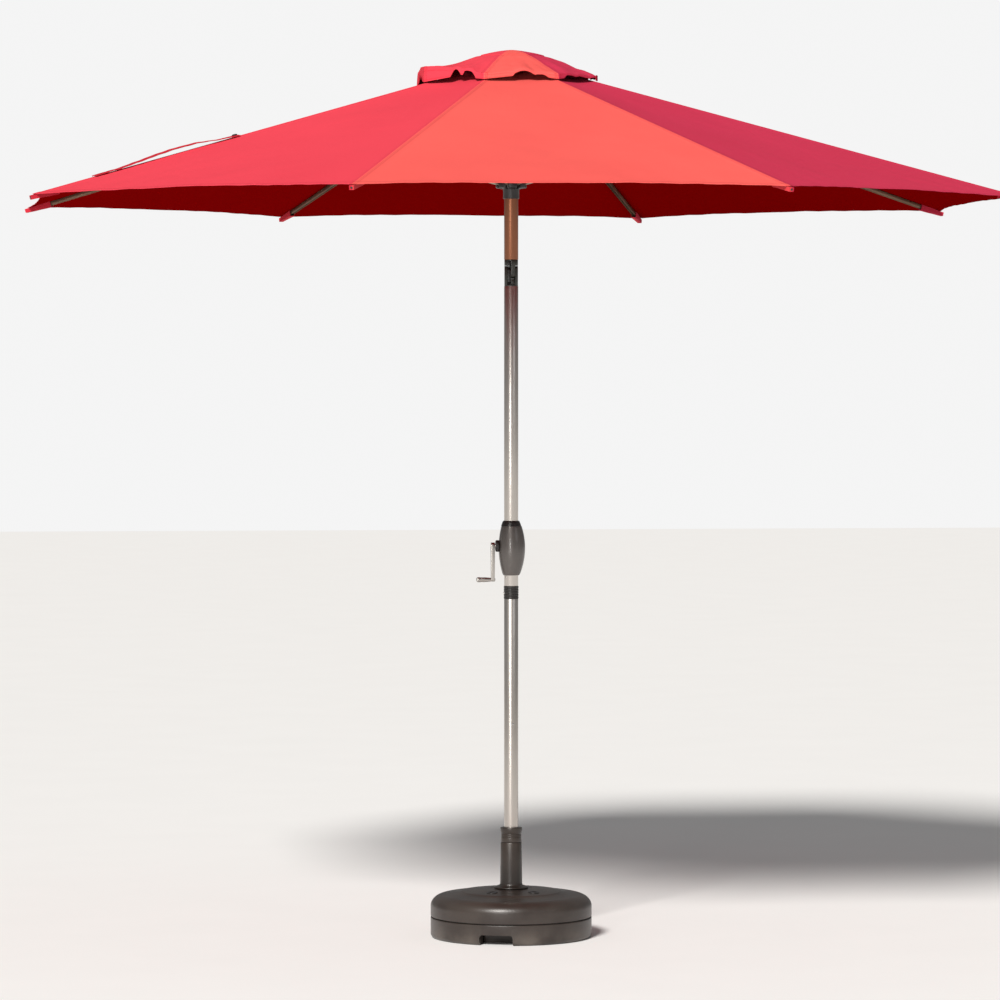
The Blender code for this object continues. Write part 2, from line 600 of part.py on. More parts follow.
def cap_mesh():
    """A thin cone with eight corners, as one closed solid."""
    rings, around = 4, 4 * RIB_COUNT
    shape = bmesh.new()

    def corner(reach, bearing, drop):
        from_rib = abs((bearing % BAY) - BAY / 2)
        radius = reach * math.cos(BAY / 2) / math.cos(BAY / 2 - from_rib)
        height = cap_height(reach, bearing) - TILT_Z - drop
        return shape.verts.new((radius * math.cos(bearing), radius * math.sin(bearing), height))

    hems = []
    for drop in (0, CLOTH):
        tip = shape.verts.new((0, 0, CAP_APEX_Z - TILT_Z - drop))
        loops = [
            [corner(CAP_CORNER * i / rings, TURN * j / around, drop) for j in range(around)]
            for i in range(1, rings + 1)
        ]
        for j in range(around):
            shape.faces.new((tip, loops[0][j], loops[0][j - 1]))
            for inner, outer in zip(loops, loops[1:]):
                shape.faces.new((inner[j - 1], inner[j], outer[j], outer[j - 1]))
        hems.append(loops[-1])
    for j in range(around):
        shape.faces.new((hems[0][j - 1], hems[0][j], hems[1][j], hems[1][j - 1]))
    return finished(shape)


def stretcher_place():
    """(length, angle from the rib's own direction) of the stretcher from the bracket to the runner."""
    direction = Vector((math.cos(RIB_SLOPE), -math.sin(RIB_SLOPE)))
    normal = Vector((math.sin(RIB_SLOPE), math.cos(RIB_SLOPE)))
    bracket = Vector((HUB_PIVOT, HUB_Z)) + BRACKET[0] * direction + BRACKET[1] * normal
    reach = Vector(RUNNER_PIVOT) - bracket
    return reach.length, math.atan2(-reach.y, reach.x) - RIB_SLOPE


def make_canopy(look, head):
    rib, panel = rib_mesh(), panel_mesh()
    length, turn = stretcher_place()
    stretcher = stretcher_mesh(length)
    for k in range(RIB_COUNT):
        bearing = BAY * (k + 0.5)
        at = (HUB_PIVOT * math.cos(bearing), HUB_PIVOT * math.sin(bearing), HUB_Z - TILT_Z)
        pivot = joint(f"rib_axis_{k + 1}", head, at, (0, 0, bearing))
        arm = place(f"rib_{k + 1}", rib, look["rib"], pivot, rotation=(0, RIB_SLOPE, 0))
        bracket = (BRACKET[0], 0, BRACKET[1])
        place(f"stretcher_{k + 1}", stretcher, look["rib"], arm, bracket, (0, turn, 0))
        place(f"canopy_panel_{k + 1}", panel, look["cloth"], pivot)
        if k + 1 == STRAP_RIB:
            place("closing_strap", strap_mesh(), look["cloth"], pivot)
    place("vent_cap", cap_mesh(), look["cloth"], head)


def main():
    clear_scene()
    look = {
        "base": material("base_plastic", (0.16, 0.135, 0.125), 0.38),
        "ballast": material("ballast", (0.45, 0.43, 0.40), 0.9),
        "rubber": material("grip_rubber", (0.05, 0.05, 0.05), 0.7),
        "pole": material("pole_metal", (0.78, 0.75, 0.72), 0.3, 1.0),
        "steel": material("bright_steel", (0.7, 0.7, 0.7), 0.3, 1.0),
        "dark": material("dark_plastic", (0.05, 0.045, 0.045), 0.45),
        "housing": material("housing_plastic", (0.30, 0.27, 0.25), 0.3),
        "crank": material("crank_metal", (0.55, 0.52, 0.5), 0.35, 0.8),
        "joint": material("tilt_joint", (0.25, 0.23, 0.18), 0.45),
        "rib": material("rib_metal", (0.35, 0.18, 0.10), 0.4, 0.6),
        "cloth": material("canopy_cloth", (0.80, 0.06, 0.07), 0.75),
    }
    make_base(look)
    make_collar(look)
    mast = joint("mast_axis", location=(0, 0, 0))
    make_mast(look, mast)
    make_housing(look, mast)
    make_crank(look, mast)
    head = joint("tilt_axis", mast, (0, 0, TILT_Z))
    make_tilt(look, mast, head)
    make_top(look, head)
    make_runner(look, head)
    make_canopy(look, head)


main()
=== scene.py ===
# %% [markdown]
# # A patio umbrella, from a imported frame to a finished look
#
# This notebook dresses a market umbrella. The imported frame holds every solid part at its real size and
# place, and knows which parts move. The cells below give each part a fine surface, cut and sew the cloth,
# and light the result. Lengths are metres and +Z is up.

# %% Load the frame
import math

import bpy
from mathutils import Matrix, Vector, noise
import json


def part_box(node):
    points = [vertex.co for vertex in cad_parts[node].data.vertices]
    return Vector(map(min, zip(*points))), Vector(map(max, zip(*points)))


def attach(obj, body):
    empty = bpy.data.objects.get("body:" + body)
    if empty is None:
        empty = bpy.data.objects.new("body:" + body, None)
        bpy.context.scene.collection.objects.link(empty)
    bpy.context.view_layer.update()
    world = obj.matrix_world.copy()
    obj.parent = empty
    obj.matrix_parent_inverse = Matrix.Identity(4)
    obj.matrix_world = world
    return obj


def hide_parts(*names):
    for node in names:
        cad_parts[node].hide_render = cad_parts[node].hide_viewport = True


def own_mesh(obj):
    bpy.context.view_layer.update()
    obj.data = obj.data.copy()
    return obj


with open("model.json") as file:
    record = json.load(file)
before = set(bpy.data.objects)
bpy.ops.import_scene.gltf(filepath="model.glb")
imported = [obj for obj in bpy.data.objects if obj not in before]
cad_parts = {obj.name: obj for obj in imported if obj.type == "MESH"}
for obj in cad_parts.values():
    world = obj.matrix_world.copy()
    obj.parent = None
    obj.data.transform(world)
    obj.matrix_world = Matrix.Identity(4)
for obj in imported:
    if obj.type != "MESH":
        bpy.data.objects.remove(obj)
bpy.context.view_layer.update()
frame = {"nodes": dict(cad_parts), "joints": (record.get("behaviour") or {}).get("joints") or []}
joints = {joint["name"]: joint for joint in frame["joints"]}

# %% [markdown]
# ## Driving dimensions
#
# The places come from the frame: a joint's position, or the box of a part. A few sizes that a box can't
# give, such as the slope of the ribs, are named once here.

# %% Dimensions
RIB_COUNT = 8
BAY = math.tau / RIB_COUNT  # the angle between two ribs
RIB_SLOPE = math.radians(15.5)
POLE_RADIUS = 0.0190
POLE_WALL = 0.0013
STITCH = 0.0006

first_hinge = Vector(joints["rib_hinge_1"]["pos_m"])
HUB_PIVOT = first_hinge.xy.length
HUB_Z = first_hinge.z
TILT_Z = joints["tilt"]["pos_m"][2]
CRANK_Z = joints["crank_turn"]["pos_m"][2]
RIB_LENGTH = (1.4000 - HUB_PIVOT) / math.cos(RIB_SLOPE)
CANOPY_APEX_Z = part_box("canopy_panel_1")[1].z + 0.058 * math.tan(RIB_SLOPE)
CANOPY_CORNER = 1.3850
SEAM_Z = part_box("base_upper")[0].z
BASE_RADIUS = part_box("base_upper")[1].x


def bearing_of(k):
    return BAY * (k - 0.5)


print("hub pivots at", round(HUB_PIVOT, 4), round(HUB_Z, 4), "cloth apex", round(CANOPY_APEX_Z, 4))

# %% [markdown]
# ## Modelling by hand, in code
#
# Round parts, such as tubes, knobs and screws, are turned like wood on a lathe: one vertex is extruded
# along a profile, and the line is spun round the axis. A cylinder primitive with loop cuts would do as
# well, but a profile reads like a drawing. Before anything is added, everything is deselected, because an
# operator acts on all that is selected.

# %% Modelling helpers


def deselect():
    for piece in list(bpy.context.selected_objects):
        piece.select_set(False)


def edit(piece):
    deselect()
    bpy.context.view_layer.objects.active = piece
    piece.select_set(True)
    bpy.ops.object.mode_set(mode="EDIT")
    bpy.ops.mesh.select_mode(type="VERT")
    bpy.ops.mesh.select_all(action="SELECT")


def leave(piece, name=None):
    bpy.ops.object.mode_set(mode="OBJECT")
    if name:
        piece.name = name
        piece.data.name = name
    return piece


def modified(piece, kind, **settings):
    """Adds a modifier with these settings and applies it."""
    deselect()
    bpy.context.view_layer.objects.active = piece
    piece.select_set(True)
    step = piece.modifiers.new(kind.lower(), kind)
    for key, value in settings.items():
        setattr(step, key, value)
    bpy.ops.object.modifier_apply(modifier=step.name)
    return piece


def softened(piece, width=0.0005, rings=2, angle=32):
    """Rounds the sharp edges and shades the rest smooth."""
    if width:
        modified(
            piece, "BEVEL", width=width, segments=rings, limit_method="ANGLE",
            angle_limit=math.radians(angle), harden_normals=False,
        )
    deselect()
    bpy.context.view_layer.objects.active = piece
    piece.select_set(True)
    bpy.ops.object.shade_smooth_by_angle(angle=math.radians(angle + 8))
    return piece


def arc(centre, radius, start, end, steps=6):
    """Profile points on a circle, angles in degrees."""
    angles = [math.radians(start + (end - start) * i / steps) for i in range(steps + 1)]
    return [(centre[0] + radius * math.cos(a), centre[1] + radius * math.sin(a)) for a in angles]


def turned(name, profile, steps=64, bevel=0.0005):
    """Extrudes one vertex along (radius, height) points, then spins the line round Z."""
    deselect()
    bpy.ops.mesh.primitive_plane_add(size=0.01)
    piece = bpy.context.object
    edit(piece)
    bpy.ops.mesh.merge(type="CENTER")
    bpy.ops.transform.translate(value=(profile[0][0], 0, profile[0][1]))
    for here, following in zip(profile, profile[1:]):
        step = (following[0] - here[0], 0, following[1] - here[1])
        bpy.ops.mesh.extrude_vertices_move(TRANSFORM_OT_translate={"value": step})
    bpy.ops.mesh.select_all(action="SELECT")
    bpy.ops.mesh.spin(steps=steps, angle=math.tau, center=(0, 0, 0), axis=(0, 0, 1))
    bpy.ops.mesh.select_all(action="SELECT")
    bpy.ops.mesh.remove_doubles(threshold=1e-5)
    bpy.ops.mesh.normals_make_consistent(inside=False)
    leave(piece, name)
    return softened(piece, bevel)


def tube_profile(outer, inner, low, high):
    return [(inner, low), (outer, low), (outer, high), (inner, high), (inner, low)]


def block(name, low, high, bevel=0.0008, rings=2):
    """A cube primitive stretched between two corners and rounded."""
    deselect()
    bpy.ops.mesh.primitive_cube_add(size=1)
    piece = bpy.context.object
    edit(piece)
    size = [b - a for a, b in zip(low, high)]
    bpy.ops.transform.resize(value=size)
    bpy.ops.transform.translate(value=[(a + b) / 2 for a, b in zip(low, high)])
    leave(piece, name)
    return softened(piece, bevel, rings)


def cut(piece, tool, operation="DIFFERENCE"):
    modified(piece, "BOOLEAN", operation=operation, object=tool, solver="EXACT")
    bpy.data.objects.remove(tool)
    return piece


def joined(pieces, name):
    deselect()
    for piece in pieces:
        piece.select_set(True)
    bpy.context.view_layer.objects.active = pieces[0]
    bpy.ops.object.join()
    return leave(pieces[0], name)


def moved(piece, matrix):
    piece.data.transform(matrix)
    return piece


def copied(piece, name, matrix):
    twin = piece.copy()
    twin.data = piece.data.copy()
    twin.name = twin.data.name = name
    bpy.context.scene.collection.objects.link(twin)
    return moved(twin, matrix)


ALONG_X = Matrix(((0, 0, 1, 0), (1, 0, 0, 0), (0, 1, 0, 0), (0, 0, 0, 1)))  # Z of the shape becomes X


def at(x, y, z):
    return Matrix.Translation((x, y, z))


def round_z(degrees):
    return Matrix.Rotation(math.radians(degrees), 4, "Z")


def refined(node, name, bevel=0.0005, angle=32):
    """A finer copy of a solid part: its triangles are merged into faces, and its edges rounded."""
    source = frame["nodes"][node]
    deselect()
    piece = bpy.data.objects.new(name, source.data.copy())
    bpy.context.scene.collection.objects.link(piece)
    edit(piece)
    bpy.ops.mesh.remove_doubles(threshold=1e-6)
    bpy.ops.mesh.dissolve_limited(angle_limit=math.radians(0.5))
    bpy.ops.mesh.normals_make_consistent(inside=False)
    leave(piece, name)
    return softened(piece, bevel, angle=angle)


print("helpers ready")

# %% [markdown]
# ## Shader maths as plain sums
#
# A material is a graph of nodes. Written node by node it hides its own idea, so a small class wraps a
# socket and lets it take part in sums: `grain * 0.2 + 0.3` adds the Math nodes by itself. One method makes
# every other node from its type, its settings and what goes into its sockets.

# %% Material helpers


class Signal:
    """A number on its way through a material."""

    def __init__(self, finish, socket):
        self.finish = finish
        self.socket = socket

    def maths(self, operation, *values):
        return self.finish.node("ShaderNodeMath", {"operation": operation}, dict(enumerate(values)))

    def __add__(self, other):
        return self.maths("ADD", self, other)

    def __sub__(self, other):
        return self.maths("SUBTRACT", self, other)

    def __rsub__(self, other):
        return self.maths("SUBTRACT", other, self)

    def __mul__(self, other):
        return self.maths("MULTIPLY", self, other)

    def __lt__(self, other):
        return self.maths("LESS_THAN", self, other)

    def __gt__(self, other):
        return self.maths("GREATER_THAN", self, other)

    def __abs__(self):
        return self.maths("ABSOLUTE", self)

    __radd__ = __add__
    __rmul__ = __mul__

    def sine(self):
        return self.maths("SINE", self)

    def bearing_with(self, x):
        """The angle of (x, self) round the mast, from -pi to pi."""
        return self.maths("ARCTAN2", self, x)

    def fraction(self):
        return self.maths("FRACT", self)

    def clamped(self):
        return self.finish.node("ShaderNodeClamp", {}, {"Value": self})

    def eased(self, low, high):
        """0 below low, 1 above high, and smooth between."""
        sockets = {"Value": self, "From Min": low, "From Max": high}
        return self.finish.node("ShaderNodeMapRange", {"interpolation_type": "SMOOTHSTEP"}, sockets)


class Finish:
    """A material under construction."""

    def __init__(self, name, metallic=0.0, **constants):
        self.material = bpy.data.materials.new(name)
        self.material.use_nodes = True
        self.tree = self.material.node_tree
        self.shader = self.tree.nodes["Principled BSDF"]
        self.shader.inputs["Metallic"].default_value = metallic
        for socket, value in constants.items():
            self.shader.inputs[socket.replace("_", " ")].default_value = value
        self.place = self.node("ShaderNodeTexCoord", {}, {}, "Object")

    def node(self, kind, settings, sockets, output=0):
        made = self.tree.nodes.new(kind)
        for key, value in settings.items():
            setattr(made, key, value)
        for key, value in sockets.items():
            if isinstance(value, Signal):
                self.tree.links.new(value.socket, made.inputs[key])
            else:
                made.inputs[key].default_value = value
        return Signal(self, made.outputs[output])

    def stretched(self, scale, source=None):
        return self.node("ShaderNodeMapping", {}, {"Vector": source or self.place, "Scale": scale})

    def noise(self, scale, detail=3.0, place=None, roughness=0.5):
        sockets = {"Vector": place or self.place, "Scale": scale, "Detail": detail, "Roughness": roughness}
        return self.node("ShaderNodeTexNoise", {}, sockets)

    def axes(self, source=None):
        parts = self.node("ShaderNodeSeparateXYZ", {}, {0: source or self.place})
        outputs = parts.socket.node.outputs
        return [Signal(self, outputs[i]) for i in range(3)]

    def uv(self):
        return self.axes(self.node("ShaderNodeUVMap", {"uv_map": "UVMap"}, {}))

    def blend(self, share, first, second):
        """A colour between two colours."""
        sockets = {"Factor": share, "A": first, "B": second}
        made = self.tree.nodes.new("ShaderNodeMix")
        made.data_type = "RGBA"
        inputs = {"Factor": made.inputs[0], "A": made.inputs[6], "B": made.inputs[7]}
        for key, value in sockets.items():
            if isinstance(value, Signal):
                self.tree.links.new(value.socket, inputs[key])
            else:
                inputs[key].default_value = (*value, 1) if isinstance(value, tuple) else value
        return Signal(self, made.outputs[2])

    def bump(self, height, distance, strength=1.0, below=None):
        sockets = {"Height": height, "Distance": distance, "Strength": strength}
        if below:
            sockets["Normal"] = below
        return self.node("ShaderNodeBump", {}, sockets)

    def done(self, colour, roughness, normal=None):
        for socket, value in (("Base Color", colour), ("Roughness", roughness), ("Normal", normal)):
            if isinstance(value, Signal):
                self.tree.links.new(value.socket, self.shader.inputs[socket])
            elif isinstance(value, tuple):
                self.shader.inputs[socket].default_value = (*value, 1)
            elif value is not None:
                self.shader.inputs[socket].default_value = value
        self.material.diffuse_color = (*colour, 1) if isinstance(colour, tuple) else (0.5, 0.5, 0.5, 1)
        return self.material


print("material helpers ready")

# %% [markdown]
# ## Moulded plastics
#
# The base, the stem and the clamp are blow-moulded in a dark brown-grey plastic. Such a surface is never
# flat: it has a fine orange-peel grain, cloudier patches, and dust that gathers low down. Noise at two
# scales gives the grain and the clouds, and the height above the floor gives the dust.

# %% Plastics


def moulded_plastic(name, dark, light, roughness, grain=0.0002, dusty=0.0):
    finish = Finish(name, Specular_IOR_Level=0.5)
    clouds = finish.noise(9.0, 4.0)
    peel = finish.noise(900.0, 2.0)
    scuffs = finish.noise(60.0, 6.0, finish.stretched((1, 1, 4)), 0.7).eased(0.56, 0.74)
    colour = finish.blend(clouds.eased(0.35, 0.68), dark, light)
    if dusty:
        height = finish.axes()[2]
        dust = (1 - height.eased(0.0, 0.05)) * dusty * clouds.eased(0.3, 0.7)
        colour = finish.blend(dust, colour, (0.30, 0.26, 0.22))
    rough = clouds * 0.10 + scuffs * 0.12 + (roughness - 0.06)
    return finish.done(colour, rough, finish.bump(peel, grain))


base_plastic = moulded_plastic("base_plastic", (0.026, 0.019, 0.016), (0.042, 0.033, 0.028), 0.36, dusty=0.20)
stem_plastic = moulded_plastic("stem_plastic", (0.018, 0.0135, 0.011), (0.034, 0.025, 0.020), 0.34)
black_plastic = moulded_plastic("black_plastic", (0.010, 0.009, 0.009), (0.018, 0.016, 0.015), 0.36)
joint_plastic = moulded_plastic("joint_plastic", (0.018, 0.018, 0.015), (0.030, 0.030, 0.024), 0.34)
fill_material = moulded_plastic("loose_fill", (0.34, 0.31, 0.28), (0.50, 0.47, 0.43), 0.9, 0.002)
grip_rubber = moulded_plastic("grip_rubber", (0.012, 0.012, 0.012), (0.02, 0.02, 0.02), 0.7)


def painted_plastic():
    """The crank housing: satin paint with fine metal flakes under a thin clear coat."""
    finish = Finish("housing_paint", metallic=0.35, Coat_Weight=0.5, Coat_Roughness=0.18)
    flakes = finish.noise(2600.0, 1.0)
    clouds = finish.noise(14.0, 3.0)
    colour = finish.blend(flakes.eased(0.45, 0.75), (0.085, 0.075, 0.070), (0.190, 0.170, 0.155))
    colour = finish.blend(clouds.eased(0.3, 0.75) * 0.4, colour, (0.07, 0.06, 0.055))
    return finish.done(colour, flakes * 0.14 + 0.30, finish.bump(flakes, 0.00006))


housing_paint = painted_plastic()
print("plastics: dark brown-grey base, black trim, painted housing")

# %% [markdown]
# ## Metals
#
# The mast is drawn aluminium tube: the drawing leaves very fine lines along it, so its grain is noise
# stretched along Z. Ribs and stretchers are painted in bronze; the paint has worn a little on the edges.
# Screws and pins are bare steel.

# %% Metals


def drawn_tube(name, dark, light, roughness):
    finish = Finish(name, metallic=1.0)
    lines = finish.noise(1.0, 3.0, finish.stretched((1400, 1400, 6)))
    clouds = finish.noise(7.0, 3.0, finish.stretched((1, 1, 0.35)))
    spots = finish.noise(150.0, 2.0).eased(0.70, 0.78)
    colour = finish.blend(clouds.eased(0.3, 0.7), dark, light)
    colour = finish.blend(spots * 0.35, colour, (0.30, 0.26, 0.22))
    rough = lines * 0.12 + clouds * 0.06 + spots * 0.15 + (roughness - 0.09)
    return finish.done(colour, rough, finish.bump(lines, 0.00003))


tube_metal = drawn_tube("tube_metal", (0.52, 0.48, 0.44), (0.60, 0.565, 0.53), 0.33)
# The upper tube is the same drawn tube, painted dark brown as the shade and the red reflection under the
# canopy.
upper_tube_metal = drawn_tube("upper_tube_metal", (0.22, 0.088, 0.048), (0.28, 0.115, 0.065), 0.36)
crank_metal = drawn_tube("crank_metal", (0.42, 0.40, 0.37), (0.52, 0.49, 0.46), 0.30)


def painted_metal(name, paint, light):
    finish = Finish(name, metallic=0.6)
    clouds = finish.noise(18.0, 4.0)
    grain = finish.noise(700.0, 2.0)
    chips = finish.noise(90.0, 5.0, None, 0.7).eased(0.70, 0.75)
    colour = finish.blend(clouds.eased(0.3, 0.7), paint, light)
    colour = finish.blend(chips * 0.5, colour, (0.40, 0.36, 0.33))
    return finish.done(colour, clouds * 0.12 + 0.34 - chips * 0.08, finish.bump(grain, 0.00008))


rib_paint = painted_metal("rib_paint", (0.16, 0.10, 0.065), (0.22, 0.14, 0.09))
stretcher_paint = painted_metal("stretcher_paint", (0.26, 0.20, 0.15), (0.33, 0.26, 0.19))


def bare_steel():
    finish = Finish("bare_steel", metallic=1.0)
    lines = finish.noise(500.0, 3.0)
    stains = finish.noise(60.0, 4.0).eased(0.45, 0.75)
    colour = finish.blend(stains * 0.5, (0.58, 0.57, 0.56), (0.34, 0.31, 0.29))
    return finish.done(colour, lines * 0.12 + 0.22, finish.bump(lines, 0.00005))


steel = bare_steel()
print("metals: drawn tube, painted ribs, steel")

# %% [markdown]
# ## Cloth
#
# The canopy is a plain-woven polyester. The UV map of each cloth piece is in metres: U runs away from
# the seam over the rib and V away from the hem, so a pattern can follow the cut. Two crossed sine waves
# make the weave. A stitch row is a narrow band at a fixed distance from the seam or the hem, broken into
# dashes, and each dash sinks into the cloth.
#
# The panels differ from seam to seam by painted light and shade: the bearing round the mast picks the colour
# of a whole panel, lightest for the front and back panels, deepest on the right. The underside is painted
# shade.

# %% Cloth


def woven(name, left_painted_light, front_painted_light, right_painted_shade, thread, gloss=0.10):
    finish = Finish(name, Specular_IOR_Level=gloss)
    u, v, _ = finish.uv()
    fine = math.tau / 0.0011
    weave = (u * fine).sine() * (v * fine).sine()
    slubs = finish.noise(1.0, 2.0, finish.stretched((40, 900, 900)))
    fading = finish.noise(2.2, 3.0)
    creases = finish.noise(14.0, 4.0, finish.stretched((1, 1, 1)), 0.6)

    def row(distance, offset, along):
        band = abs(abs(distance) - offset) < STITCH
        return band * ((along * (1 / 0.0042)).fraction() < 0.68)

    seam_rows = row(u, 0.0042, v) + row(u, 0.0085, v)
    hem_rows = row(v, 0.0028, u) + row(v, 0.0165, u)
    stitches = (seam_rows + hem_rows).clamped()
    # Painted light and shade: the front and back panels take the lightest colour, the panels on the right the
    # deepest.
    x, y, _ = finish.axes()
    bearing = y.bearing_with(x)
    painted_shade_right_mask = abs(bearing) < math.radians(67.5)
    painted_light_front_mask = abs(abs(bearing) - math.pi / 2) < math.radians(22.5)
    colour = finish.blend(painted_shade_right_mask, left_painted_light, right_painted_shade)
    colour = finish.blend(painted_light_front_mask, colour, front_painted_light)
    colour = finish.blend(fading.eased(0.30, 0.70) * 0.10, colour, thread)
    colour = finish.blend(slubs.eased(0.55, 0.8) * 0.10, colour, front_painted_light)
    colour = finish.blend(stitches * 0.7, colour, thread)
    cloth = finish.bump(weave, 0.00010, 0.5)
    soft = finish.bump(creases, 0.0022, 0.55, cloth)
    sewn = finish.bump(1 - stitches, 0.0004, 0.8, soft)
    return finish.done(colour, weave * 0.04 + 0.78, sewn)


# The left, front and right colours of each cloth differ only as painted light and shade.
canopy_red = woven(
    "canopy_red", (0.76, 0.056, 0.086), (0.84, 0.116, 0.100), (0.60, 0.034, 0.086), (0.50, 0.02, 0.04),
)
# The underside is painted shade: the same cloth, given a much darker red so that it looks unlit.
canopy_inner = woven(
    "canopy_inner", (0.20, 0.0006, 0.0008), (0.18, 0.0005, 0.0005), (0.17, 0.0004, 0.0004), (0.12, 0, 0), 0.0,
)
webbing_red = woven(
    "webbing_red", (0.50, 0.022, 0.040), (0.62, 0.045, 0.055), (0.46, 0.022, 0.050), (0.22, 0.004, 0.008),
)
print("cloth: outer, inner and webbing")

# %% [markdown]
# ## Putting a piece in its place
#
# Every piece rides on one body of the frame, takes its materials, and may stand for a solid that is then
# hidden. One function says all of that and prints the piece's size.

# %% Fitting


def size_of(piece):
    """The mesh's own extent in millimetres."""
    places = [vertex.co for vertex in piece.data.vertices]
    if not places:
        raise RuntimeError(piece.name + " has no vertices")
    return [round(1000 * (max(p[i] for p in places) - min(p[i] for p in places)), 1) for i in range(3)]


def fitted(piece, body, finish, slot, *nodes):
    piece.data.materials.clear()
    for material in finish if isinstance(finish, tuple) else (finish,):
        piece.data.materials.append(material)
    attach(piece, body)
    if nodes:
        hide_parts(*nodes)
    print(piece.name, "on", body, size_of(piece), "mm")
    return piece


def painted(material, *nodes):
    """Gives solids that stay in view a better material."""
    for node in nodes:
        mesh = frame["nodes"][node].data
        mesh.materials.clear()
        mesh.materials.append(material)


# %% [markdown]
# ## Camera, floor and light
#
# The umbrella is seen from far away and from chest height, so the lens is long and the lines stay
# nearly parallel. The main light comes from the front left at about 37 degrees: it lights the canopy and
# the lower mast, and leaves the underside dark. It is a sun, whose light is as strong far away as near, so
# the floor stays even; a wide angle makes it soft. A weak lamp on the right keeps the far side readable.

# %% Camera
CAMERA_PLACE = (-1.437, -12.417, 1.5585)
CAMERA_PITCH = 0.0301
CAMERA_TURN = -0.1128

camera_data = bpy.data.cameras.new("camera")
camera_data.sensor_width = 36.0
camera_data.lens = 166.7
camera = bpy.data.objects.new("camera", camera_data)
camera.location = CAMERA_PLACE
camera.rotation_euler = (math.pi / 2 - CAMERA_PITCH, 0, CAMERA_TURN)
bpy.context.scene.collection.objects.link(camera)
bpy.context.scene.camera = camera

# %% Floor, sky and lights
deselect()
bpy.ops.mesh.primitive_plane_add(size=60)
floor = bpy.context.object
floor.name = "floor"
floor_finish = Finish("floor_paint")
floor_grain = floor_finish.noise(3.0, 4.0)
floor_colour = floor_finish.blend(floor_grain, (0.90, 0.90, 0.90), (0.93, 0.93, 0.93))
floor.data.materials.append(floor_finish.done(floor_colour, 0.9))

# No film curve is laid over the view, so a material's colour is the colour that is seen.
bpy.context.scene.view_settings.view_transform = "Standard"

# The sky is seen nearly white, but lights the umbrella less, so that metal tubes keep their dark edges.
SKY_SEEN, SKY_LIGHT = 0.91, 0.22
sky = bpy.data.worlds.new("sky")
sky.use_nodes = True
sky_nodes, sky_links = sky.node_tree.nodes, sky.node_tree.links
backdrop = sky_nodes["Background"]
backdrop.inputs["Color"].default_value = (1.0, 1.0, 1.0, 1)
ray = sky_nodes.new("ShaderNodeLightPath")
strength = sky_nodes.new("ShaderNodeMapRange")
strength.inputs["To Min"].default_value = SKY_LIGHT
strength.inputs["To Max"].default_value = SKY_SEEN
sky_links.new(ray.outputs["Is Camera Ray"], strength.inputs["Value"])
sky_links.new(strength.outputs["Result"], backdrop.inputs["Strength"])
bpy.context.scene.world = sky


def aimed(name, kind, place, target, colour):
    """A lamp at a place, turned towards a target."""
    lamp_data = bpy.data.lights.new(name, kind)
    lamp_data.color = colour
    lamp = bpy.data.objects.new(name, lamp_data)
    lamp.location = place
    lamp.rotation_euler = (Vector(target) - Vector(place)).to_track_quat("-Z", "Y").to_euler()
    bpy.context.scene.collection.objects.link(lamp)
    return lamp_data


key_light = aimed("key_light", "SUN", (-3.6, -7.4, 7.4), (0, 0, 1.2), (1.0, 0.965, 0.92))
key_light.energy = 4.0
key_light.angle = math.radians(13)
fill_light = aimed("fill_light", "AREA", (5.5, -6.5, 3.5), (0, 0, 1.4), (0.92, 0.95, 1.0))
fill_light.shape = "DISK"
fill_light.size = 2.5
fill_light.energy = 25
# A tall strip at the camera's height draws the bright line down the mast, which a high sun can't do.
strip_light = aimed("strip_light", "AREA", (-3.1, -8.0, 1.5), (0, 0, 1.2), (1.0, 0.985, 0.96))
strip_light.shape = "RECTANGLE"
strip_light.size, strip_light.size_y = 0.8, 2.6
strip_light.energy = 130
print("camera, floor, sky and three lights")

# %% [markdown]
# ## The weighted base
#
# The base is a blow-moulded tank in two halves that meet in a seam. Its profile is turned in one go, and
# the two hand holds are arches cut out of the rim. The top is a shallow dome that carries a raised pad
# round the stem, with a step at each edge; the steps are part of the profile, since they catch the light.

# %% Base tank
GRIP_TURN = -107.6
GRIP_WIDTH, GRIP_HEIGHT, GRIP_BACK = 0.0910, 0.0280, 0.1450
CAVITY_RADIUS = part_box("base_ballast")[1].x + 0.0005
CROWN_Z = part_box("base_upper")[1].z
STEM_HOLE = 0.0303


def grip_arch(turn):
    """The space of a hand hold, with rounded upper corners."""
    arch = block(
        "arch", (GRIP_BACK, -GRIP_WIDTH / 2, -0.03), (BASE_RADIUS + 0.03, GRIP_WIDTH / 2, GRIP_HEIGHT),
        bevel=0.008, rings=5,
    )
    return moved(arch, round_z(turn))


lower_profile = [(0.0001, 0)] + arc((BASE_RADIUS - 0.010, 0.010), 0.010, -90, 0, 10)
lower_profile += [(BASE_RADIUS, SEAM_Z - 0.0042)]
lower_profile += arc((BASE_RADIUS - 0.0022, SEAM_Z - 0.0036), 0.0022, 0, 90, 5)
lower_profile += [(BASE_RADIUS - 0.0060, SEAM_Z - 0.0014), (BASE_RADIUS - 0.0060, SEAM_Z - 0.0002)]
lower_profile += [(CAVITY_RADIUS, SEAM_Z - 0.0002), (CAVITY_RADIUS, 0.0050), (0.0001, 0.0050), (0.0001, 0)]
tank_lower = turned("tank_lower", lower_profile, 160, bevel=0)
for turn in (GRIP_TURN, GRIP_TURN + 180):
    cut(tank_lower, grip_arch(turn))
softened(tank_lower, 0.0016, 3)
fitted(tank_lower, "base", base_plastic, "base_plastic", "base_lower")

# %% Base top
PAD_OUTER, PAD_INNER = 0.1340, 0.0560

